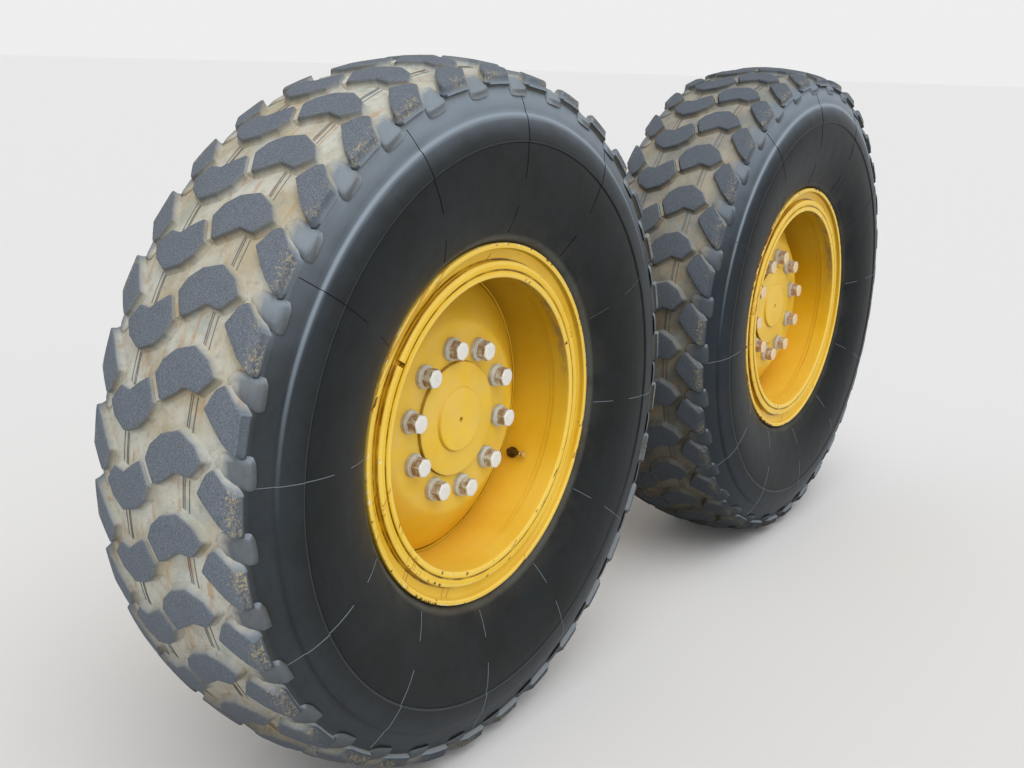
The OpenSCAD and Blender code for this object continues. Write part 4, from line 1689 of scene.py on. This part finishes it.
    def bridge(self, bm: Shape) -> None:
        """Adds the shallow dusty tie between the two centre lugs.

        Args:
            bm: The pitch.
        """
        corners = offset([(u * MM, w * MM) for u, w in self.BRIDGE], -3 * MM)
        part = bmesh.new()
        rings = [[Vector((u, w, -depth * MM)) for u, w in corners] for depth in (18.0, 5.0)]
        stacked(part, rings, {Mark.DUST: [1.0, 1.0], Mark.WORN: [0.0, 0.0]})
        self.cut(part, 0, self.size.bridge_strip)
        for vert in part.verts:
            around, out, depth = vert.co
            vert.co = self.curved(around, out, self.crown(out) + depth)
        self.add(bm, part)

    def lobe(self, bm: Shape, flip: bool) -> None:
        """Adds the smooth raised lobe that ends a groove at the shoulder.

        Args:
            bm: The pitch.
            flip: Whether it is on the inner half.
        """
        part = bmesh.new()
        middle = Vector((sum(p[0] for p in self.LOBE), sum(p[1] for p in self.LOBE))) / len(self.LOBE)
        rings = []
        for inset, rise in self.LOBE_RINGS:
            ring = []
            for u, w, r in self.LOBE:
                spot = Vector((u, w)).lerp(middle, inset)
                high = r + (self.LOBE_TOP - r) * inset + rise
                around, out = self.turned(spot, flip)
                ring.append(self.curved(around, out + math.copysign(rise * 0.5 * MM, out), high * MM))
            rings.append(ring)
        stacked(part, rings, {Mark.DUST: [0.0] * 5, Mark.WORN: [0.0, 0.3, 0.45, 0.4, 0.4]})
        layer = part.verts.layers.float[Mark.DUST.value]
        for vert in part.verts:
            inboard = self.size.lobe_clean_from - abs(vert.co.y)
            vert[layer] = max(0.12, min(0.9, inboard / self.size.lobe_clean_fade))
        self.add(bm, part)

    def groove_lines(self, bm: Shape, flip: bool) -> None:
        """Adds the fine moulded lines across the groove floor.

        Args:
            bm: The pitch.
            flip: Whether they are on the inner half.
        """
        for row, out in enumerate(self.GROOVE_LINES):
            rings = []
            for around in (-106.0 + row * 3, -84.0, -62.0, -42.0):
                ring = []
                for aside, depth in ((-0.8, -16.5), (-0.4, -13.9), (0.4, -13.9), (0.8, -16.5)):
                    turned_u, turned_w = self.turned((around, out + aside), flip)
                    ring.append(self.curved(turned_u, turned_w, self.crown(turned_w) + depth * MM))
                rings.append(ring)
            part = bmesh.new()
            stacked(part, rings, {Mark.DUST: [0.3] * 4, Mark.WORN: [0.0] * 4}, floor=True)
            self.add(bm, part)

    def flash_line(self) -> Thing:
        """Makes one thin raised line down both sidewalls, from shoulder to rib and near the rim.

        Returns:
            The line.
        """
        s = self.size
        outline = [(r, w) for r, w, _ in self.side_outline()]
        foot = self.crown(s.tread_half) - s.lug_height - s.shoulder_fall
        bm = bmesh.new()
        for low, high in ((s.flash_from, foot - 3 * MM), (s.rim_flash_from, s.rim_flash_to)):
            for side in (1.0, -1.0):
                rows = [(r, w) for r, w in outline if low <= r <= high]
                rings = []
                for half, rise in self.FLASH:
                    rings.append([Vector((r, side * (w + rise * MM), half * MM)) for r, w in rows])
                part = bmesh.new()
                strips = [[part.verts.new(point) for point in ring] for ring in rings]
                for one, two in zip(strips, strips[1:]):
                    for i in range(len(one) - 1):
                        part.faces.new((one[i], one[i + 1], two[i + 1], two[i]))
                self.add(bm, part)
        layer = bm.verts.layers.float[Mark.SEAM.value]
        for vert in bm.verts:
            vert[layer] = 1.0
        bmesh.ops.recalc_face_normals(bm, faces=bm.faces)
        return mesh_object("flash line", bm)


@dataclass
class Rim:
    """Three-piece rim, disc and hub, turned with rounded edges."""

    place: WheelPlace
    finish: RimPaint = field(init=False)
    flange_reach: float = 26 * MM
    flange_wall: float = 10 * MM
    curl: float = 14 * MM
    seat_r: float = 304.8 * MM
    band_wall: float = 9 * MM
    seat_width: float = 254 * MM
    ring_foot: float = 26 * MM
    lock_gap: float = 9 * MM
    pad_depth: float = 85 * MM
    weld_depth: float = 152 * MM
    disc_wall: float = 16 * MM
    pad_r: float = 186 * MM
    plug_r: float = 113 * MM
    boss_r: float = 63 * MM
    plug_proud: float = 8 * MM
    boss_proud: float = 8 * MM
    spindle_r: float = 62 * MM
    hub_r: float = 138 * MM
    hub_flange_r: float = 176 * MM
    hub_flange_t: float = 26 * MM
    drilling_r: float = 5 * MM
    drilling_depth: float = 15 * MM
    hub_steps: int = 180
    brake_room: float = 5 * MM
    gap: float = SEAT_GAP
    steps: int = 216

    def __post_init__(self) -> None:
        """Makes the wheel's paint."""
        p = self.place
        self.finish = RimPaint(p.node("rim_paint"), centre=p.at(p.flange_y), flange_r=p.flange_r,
                               lock_r=self.lock_top, gutter_r=self.gutter_r, lip_r=self.gutter_in,
                               pad_r=self.pad_r, plug_r=self.plug_r, seed=p.centre.x, weld_y=-self.weld_depth)

    @property
    def lock_top(self) -> float:
        """Outer radius of the lock ring."""
        return self.seat_r + 11.2 * MM

    @property
    def gutter_r(self) -> float:
        """Radius that the loose rings slide over."""
        return self.seat_r - 7.8 * MM

    @property
    def band_r(self) -> float:
        """Outer radius of the rim's middle band."""
        return self.seat_r - 7 * MM

    @property
    def band_in(self) -> float:
        """Inner radius of the rim's middle band."""
        return self.band_r - self.band_wall

    @property
    def gutter_in(self) -> float:
        """Inner radius of the gutter's lip."""
        return self.band_in - 5 * MM

    def build(self) -> None:
        """Builds the rim's pieces and stands them in for the CAD ones."""
        p = self.place
        for part, made in (("side_ring", self.side_ring()), ("lock_ring", self.lock_ring()),
                           ("rim_base", self.rim_base()), ("disc", self.disc()), ("hub", self.hub())):
            ride(made, p.body, Slot.RIM, self.finish, [p.node(part)])

    def flange(self) -> list[Point]:
        """Outlines a flange that rises from the bead and curls out to a rounded edge.

        Returns:
            The outline.
        """
        out, inner = self.curl + self.flange_wall / 2, self.curl - self.flange_wall / 2
        centre = (self.place.flange_r - out, out - self.flange_reach)
        edge = arc((self.place.flange_r - 2.5 * MM, -2.5 * MM), 2.5 * MM, 0, 90, 3)
        heel = arc((self.place.flange_r - self.flange_wall + 2.5 * MM, -2.5 * MM), 2.5 * MM, 90, 180, 3)
        return arc(centre, out, 270, 358, 10) + edge + heel + arc(centre, inner, 358, 270, 8)

    def turn(self, part: str, profile: Sequence[Point]) -> Thing:
        """Turns a piece whose profile counts y from the flange's edge."""
        return lathe(self.place.node(part), profile, self.place.at(self.place.flange_y), self.steps)

    def side_ring(self) -> Thing:
        """Turns the loose side ring with its foot.

        Returns:
            The side ring.
        """
        foot = -self.flange_reach - self.ring_foot
        inner = self.gutter_r + self.gap
        face = self.flange_wall - self.flange_reach
        profile = [(inner, foot + MM), (inner + MM, foot), (self.seat_r - MM, foot),
                   (self.seat_r, foot + MM), (self.seat_r, -self.flange_reach)] + self.flange()
        profile += [(self.seat_r + 3 * MM, face), (self.seat_r - 1 * MM, face + 0.6 * MM),
                    (inner, face + 2 * MM)]
        return self.turn("side_ring_dressed", profile)

    def lock_ring(self) -> Thing:
        """Turns the split lock ring, open at its gap.

        Returns:
            The lock ring.
        """
        top, foot = self.lock_top, self.gutter_r - 5 * MM
        seat, rise = -13.5 * MM, -7.6 * MM
        slide = self.gutter_r + self.gap
        profile = [(foot, seat), (slide, seat), (self.seat_r + 4 * MM, -13.4 * MM), (top, -10 * MM)]
        profile += arc((top - 6.5 * MM, -9 * MM), 6.5 * MM, 0, 100, 7)
        profile += arc((self.gutter_r + 6 * MM, -5.3 * MM), 3 * MM, 80, 150, 3)
        profile += [(slide, -4.6 * MM), (slide, rise), (foot, rise)]
        half_gap = math.degrees(self.lock_gap / 2 / self.gutter_r)
        start = self.place.facts.gap_angle + half_gap
        centre = self.place.at(self.place.flange_y)
        return lathe(self.place.node("lock_ring_dressed"), profile, centre, self.steps, start,
                     360 - 2 * half_gap)

    def rim_base(self) -> Thing:
        """Turns the rim base with its gutter lip, band, back flange and stepped inside.

        Returns:
            The rim base.
        """
        g, b, reach, wall = self.gutter_r, self.band_in, self.flange_reach, self.flange_wall
        back = -2 * reach - self.seat_width
        lip = arc((self.gutter_in + 4.5 * MM, -6.5 * MM), 4.5 * MM, 180, 90, 5)
        lip += arc((g - 2.5 * MM, -4.5 * MM), 2.5 * MM, 90, 0, 4)
        front = [(b, -54 * MM), (b - 1.5 * MM, -52.5 * MM), (b - 1.8 * MM, -42 * MM),
                 (self.gutter_in, -40 * MM), (self.gutter_in, -15 * MM)]
        groove = [(g, -7.3 * MM), (g - 5.3 * MM, -7.3 * MM), (g - 5.3 * MM, -13.8 * MM), (g, -13.8 * MM)]
        seat = [(g, -58 * MM), (self.band_r, -64 * MM), (self.band_r, back + 60 * MM),
                (self.seat_r, back + reach + 4 * MM), (self.seat_r, back + reach)]
        flange = [(r, back - w) for r, w in self.flange()]
        tail = [(b + 2 * MM, back + reach - wall + 2 * MM), (b, back + reach + 6 * MM)]
        profile = front + lip + groove + seat + flange + tail
        return self.turn("rim_base_dressed", profile)

    def disc(self) -> Thing:
        """Turns the dished disc, soft where it bends, with its weld to the band.

        Returns:
            The disc.
        """
        pad, wall, edge = -self.pad_depth, self.disc_wall, self.band_in - self.gap
        bore = self.plug_r + self.gap
        deep = -self.weld_depth
        face = [(bore, pad - 0.6 * MM), (bore + 0.6 * MM, pad), (self.pad_r - 8 * MM, pad),
                (self.pad_r - 1 * MM, pad - 0.5 * MM), (self.pad_r + 4 * MM, pad - 1.6 * MM),
                (self.pad_r + 12 * MM, pad - 6 * MM), (edge - 22 * MM, deep + 15.5 * MM),
                (edge - 12 * MM, deep + 9 * MM)]
        bead = arc((edge - 1 * MM, deep - 1 * MM), 6.5 * MM, 128, 90, 4)
        back = [(edge, deep - wall), (edge - 12 * MM, deep - wall + 4 * MM),
                (self.pad_r + 4 * MM, pad - wall - 3 * MM), (self.pad_r - 4 * MM, pad - wall),
                (bore, pad - wall)]
        profile = face + [(edge - 7 * MM, deep + 5.6 * MM)] + bead[2:] + [(edge, deep + 3 * MM)] + back
        return self.turn("disc_dressed", profile)

    def hub(self) -> Thing:
        """Turns the hub: spindle, flange, plug, boss and centre drilling.

        Returns:
            The hub.
        """
        p = self.place
        plug = p.pad_y + self.plug_proud
        boss = plug + self.boss_proud
        low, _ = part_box(p.node("hub"))
        front = p.pad_y - self.disc_wall
        back = front - self.hub_flange_t
        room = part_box(p.node("brake_housing"))[1].y + self.brake_room
        profile = [(0.0, low.y), (self.spindle_r, low.y), (self.spindle_r, room), (self.hub_r, room),
                   (self.hub_r, back), (self.hub_flange_r - 2 * MM, back),
                   (self.hub_flange_r, back + 2 * MM), (self.hub_flange_r, front), (self.plug_r, front)]
        profile += arc((self.plug_r - 3 * MM, plug - 3 * MM), 3 * MM, 0, 90, 4)
        profile += [(self.boss_r + 5 * MM, plug), (self.boss_r + 2 * MM, plug + 0.8 * MM)]
        profile += arc((self.boss_r - 4 * MM, boss - 4 * MM), 4 * MM, 15, 90, 5)
        r, deep = self.drilling_r, boss - self.drilling_depth
        profile += [(r + 0.6 * MM, boss), (r, boss - 0.8 * MM), (r, deep), (0.0, deep - 2 * MM)]
        return lathe(p.node("hub_dressed"), profile, p.centre, self.hub_steps, closed=False)


@dataclass
class WheelBolts:
    """Ten wheel bolts, each on a thick stepped washer."""

    place: WheelPlace
    count: int = 10
    circle_r: float = 142.875 * MM
    across: float = 34 * MM
    head: float = 20 * MM
    washer_r: float = 23 * MM
    washer_t: float = 9 * MM
    step_t: float = 3 * MM
    rounding: float = 2.5 * MM
    washer_steps: int = 40

    def build(self) -> None:
        """Builds washers and heads round the bolt circle."""
        p = self.place
        common = {"Count": self.count, "Start": math.radians(p.facts.bolt_angle), "Seed": 11,
                  "Ring Radius": self.circle_r, "Facing": 0.0, "Centre": p.at(p.pad_y + SEAT_GAP)}

        # Name, shape, random turn and share of rust.
        kinds = (("washers", self.washer(), 0.0, 0.35), ("bolt_heads", self.bolt(), math.tau, 0.9))
        for name, piece, turn, rusty in kinds:
            finish = Zinc(p.node(name + "_zinc"), p.facts.bolt_rust, p.facts.bolt_bright, rusty=rusty)
            own = {"Piece": piece, "Random Turn": turn, "Material": finish.material()}
            made = grown(p.node(name), empty_mesh(name), Ring.tree(), common | own)
            drop(piece)
            ride(made, p.body, Slot.STEEL, finish, [p.node("wheel_bolts")])

    def washer(self) -> Thing:
        """Makes a thick washer with a rounded shoulder and a raised step.

        Returns:
            The washer.
        """
        r, t, curl = self.washer_r, self.washer_t, self.rounding
        step_r = r - 3 * MM
        profile = [(0.0, 0.0), (r - 0.5 * MM, 0.0), (r, 0.5 * MM), (r, t - curl)]
        profile += arc((r - curl, t - curl), curl, 15, 75, 3)
        profile += [(step_r + 0.3 * MM, t), (step_r, t + 0.3 * MM), (step_r, t + self.step_t - 0.8 * MM),
                    (step_r - 0.8 * MM, t + self.step_t), (0.0, t + self.step_t)]
        none = [0.0] * len(profile)
        marks = {Mark.WORN: none, Mark.DUST: none}
        return lathe("washer", profile, Vector((0, 0, 0)), self.washer_steps, closed=False, marks=marks)

    def bolt(self) -> Thing:
        """Makes a hexagon head with a chamfered, worn end face.

        Returns:
            The head.
        """
        base = self.washer_t + self.step_t
        corner = self.across / math.sqrt(3)
        flat = self.across / 2
        end = base + self.head

        # Radius, y and wear of each ring from the washer to the end face.
        levels = ((corner, base - MM, 0.0), (corner, end - 3.2 * MM, 0.0),
                  (corner * 0.97, end - 1.8 * MM, 0.5), (flat * 0.97, end - 0.4 * MM, 0.9),
                  (flat * 0.9, end, 1.0), (flat * 0.5, end - 0.2 * MM, 0.9))
        rings = []
        for radius, out, _ in levels:
            ring = []
            for turn in range(0, 360, 15):
                angle = math.radians(turn)
                to_flat = flat / max(math.cos(math.radians(turn % 60 - 30)), 0.5)
                reach = min(radius, to_flat)
                ring.append(Vector((reach * math.cos(angle), out, reach * math.sin(angle))))
            rings.append(ring)
        marks = {Mark.WORN: [level[2] for level in levels], Mark.DUST: [0.0] * len(levels)}
        bm = bmesh.new()
        stacked(bm, rings, marks, floor=True)
        bmesh.ops.recalc_face_normals(bm, faces=bm.faces)
        return mesh_object("bolt", bm, 28.0)


@dataclass
class CaseWelds:
    """Weld beads of the chain case, where plates meet."""

    bead: float = 4.5 * MM
    ripple: float = 7 * MM
    ripple_depth: float = 0.16
    sides: int = 8
    outer_plate: float = 18 * MM
    inner_plate: float = 16 * MM
    plate_lip: float = 8 * MM
    steps: int = 40

    def build(self) -> None:
        """Runs a bead along both sides of the wrapped plate."""
        low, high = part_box("tandem_case")
        radius = high.z - self.plate_lip
        reach = (high.x - low.x) / 2 - high.z
        finish = Paint("weld_paint", wear=0.8, cast=0.6)
        edges = (("outer_weld", high.y - self.outer_plate), ("inner_weld", low.y + self.inner_plate))
        for name, out in edges:
            path = self.path(name, reach, radius, out)
            values = {"Radius": self.bead, "Ripple Length": self.ripple, "Ripple Depth": self.ripple_depth,
                      "Sides": self.sides, "Material": finish.material()}
            bead = grown(name + "_bead", path, WeldBead.tree(), values)
            bead.data.polygons.foreach_set("use_smooth", [True] * len(bead.data.polygons))
            ride(bead, "case", Slot.CASE, finish)

    def path(self, name: str, reach: float, radius: float, out: float) -> Thing:
        """Makes the closed path round the case.

        Args:
            name: The path's name.
            reach: Distance of the rounded ends' centres from the pivot.
            radius: Radius of the wrapped plate's ends.
            out: The path's y.

        Returns:
            A mesh of edges.
        """
        ends = arc((reach, 0.0), radius, -90, 90, self.steps)
        ends += arc((-reach, 0.0), radius, 90, 270, self.steps)
        bm = bmesh.new()
        verts = [bm.verts.new((x, out, z)) for x, z in ends]
        for i, vert in enumerate(verts):
            bm.edges.new((vert, verts[(i + 1) % len(verts)]))
        return mesh_object(name, bm)


@dataclass(frozen=True)
class Viewpoint:
    """The photograph's camera, with angles in degrees and its lens and sensor in millimetres."""

    place: Vector = Vector((2.5191, 1.9785, 0.6692))
    heading: float = 124.63
    down: float = 15.11
    roll: float = 1.76
    lens: float = 41.81
    sensor: float = 36.0
    nearest: float = 0.05

    def build(self) -> None:
        """Makes the camera and gives it to the scene."""
        data = bpy.data.cameras.new("camera")
        data.lens = self.lens
        data.sensor_width = self.sensor
        data.sensor_fit = "HORIZONTAL"
        data.clip_start = self.nearest
        camera = bpy.data.objects.new("camera", data)
        turn = Matrix.Rotation(math.radians(self.heading), 4, "Z")
        turn = turn @ Matrix.Rotation(math.radians(90 - self.down), 4, "X")
        turn = turn @ Matrix.Rotation(math.radians(self.roll), 4, "Z")
        camera.matrix_world = Matrix.Translation(self.place) @ turn
        bpy.context.scene.collection.objects.link(camera)
        bpy.context.scene.camera = camera


@dataclass(frozen=True)
class Studio:
    """Pale floor, even sky and two broad soft lights."""

    floor_z: float
    sky: float = 0.55
    backdrop: float = 0.86
    floor_size: float = 400.0

    # Each light's name, direction, strength and spread.
    LIGHTS = (("overhead", Vector((-0.25, -0.45, -1.0)), 1.35, 60.0),
              ("front", Vector((-0.8, -0.9, -0.55)), 0.55, 70.0))

    def build(self) -> None:
        """Makes the floor, the sky and the lights."""
        scene = bpy.context.scene
        scene.view_settings.view_transform = "Standard"
        bm = bmesh.new()
        half = self.floor_size / 2
        signs = ((-1, -1), (1, -1), (1, 1), (-1, 1))
        bm.faces.new([bm.verts.new((x * half, y * half, self.floor_z)) for x, y in signs])
        floor = mesh_object("studio_floor", bm)
        floor.data.materials.append(Ground("studio floor").material())
        floor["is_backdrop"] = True
        self.world(scene)
        for name, towards, strength, spread in self.LIGHTS:
            self.light(name, towards, strength, spread)

    def world(self, scene: bpy.types.Scene) -> None:
        """Lights the scene evenly and shows a pale backdrop where a ray of the view meets the sky.

        Args:
            scene: The scene.
        """
        world = bpy.data.worlds.new("studio")
        world.use_nodes = True
        scene.world = world
        shader = Shader(world.node_tree)
        world.node_tree.nodes.clear()
        path = shader.node("LightPath")
        seen = shader.most(path.outputs["Is Camera Ray"], path.outputs["Is Glossy Ray"])
        seen = shader.most(seen, path.outputs["Is Transmission Ray"])
        strength = shader.plus(self.sky, shader.times(seen, self.backdrop - self.sky))
        light = shader.node("Background", {"Color": (1.0, 1.0, 1.0, 1.0), "Strength": strength})
        output = shader.node("OutputWorld")
        shader.tree.links.new(light.outputs[0], output.inputs[0])

    @staticmethod
    def light(name: str, towards: Vector, strength: float, spread: float) -> None:
        """Adds a far soft light that shines in a direction.

        Args:
            name: The light's name.
            towards: The direction it shines in.
            strength: Its strength.
            spread: The angle it fills in the sky, in degrees, which softens its shadows.
        """
        data = bpy.data.lights.new(name, "SUN")
        data.energy = strength
        data.angle = math.radians(spread)
        lamp = bpy.data.objects.new(name, data)
        lamp.rotation_mode = "QUATERNION"
        lamp.rotation_quaternion = towards.to_track_quat("-Z", "Y")
        bpy.context.scene.collection.objects.link(lamp)


FRONT = WheelFacts(
    "front", bolt_angle=82.3, gap_angle=33.4, tread_angle=40.0, flash_angle=4.7, dustiness=1.0, chalk_and_shade=1.0,
    tread_shade=0.5, shade_ends_at=-0.05, dust_colour=srgb(207, 206, 195), bolt_rust=srgb(146, 108, 66),
    bolt_bright=srgb(250, 250, 244))
REAR = WheelFacts(
    "rear", bolt_angle=60.7, gap_angle=141.0, tread_angle=42.1, flash_angle=25.7, dustiness=0.72, chalk_and_shade=0.8,
    tread_shade=0.72, shade_ends_at=0.9, dust_colour=srgb(142, 138, 126), bolt_rust=srgb(178, 122, 84),
    bolt_bright=srgb(250, 222, 178))


class Tandem:
    """The whole dressed part: two wheels, the chain case and the axle end."""

    PLATES = ("tandem_case", "pivot_ring", "inspection_cover", "filler_cover")
    CASTINGS = ("pivot_housing", "front_brake_housing", "rear_brake_housing")

    def build(self) -> None:
        """Builds and dresses every piece."""
        for facts in (FRONT, REAR):
            place = WheelPlace(facts)
            Tyre(place).build()
            Rim(place).build()
            WheelBolts(place).build()
            valve = place.node("valve")
            dress(valve, ValveBrass("valve brass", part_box(valve)[1].y))
        for node in self.PLATES:
            dress(node, Paint("plate_paint"))
        for node in self.CASTINGS:
            dress(node, Paint("casting_paint", cast=1.6, everywhere=0.35))
        CaseWelds().build()
        dress("case_plugs", Zinc("plug zinc"))
        dress("brake_lines", Plain("pipe coating"))
        dress("brake_tee", Plain("pipe coating"))


def corners(box: tuple[Vector, Vector]) -> list[list[float]]:
    """Turns a box into plain lists of numbers."""
    return [list(box[0]), list(box[1])]


def main() -> None:
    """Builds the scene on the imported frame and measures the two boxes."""
    logging.basicConfig(level=logging.INFO, format="%(name)s: %(message)s")
    cad_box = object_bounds()
    Viewpoint().build()
    Tandem().build()
    Studio(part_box("front_tyre")[0].z).build()
    {"cad": corners(cad_box), "visual": corners(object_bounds())}


if __name__ == "__main__":
    main()
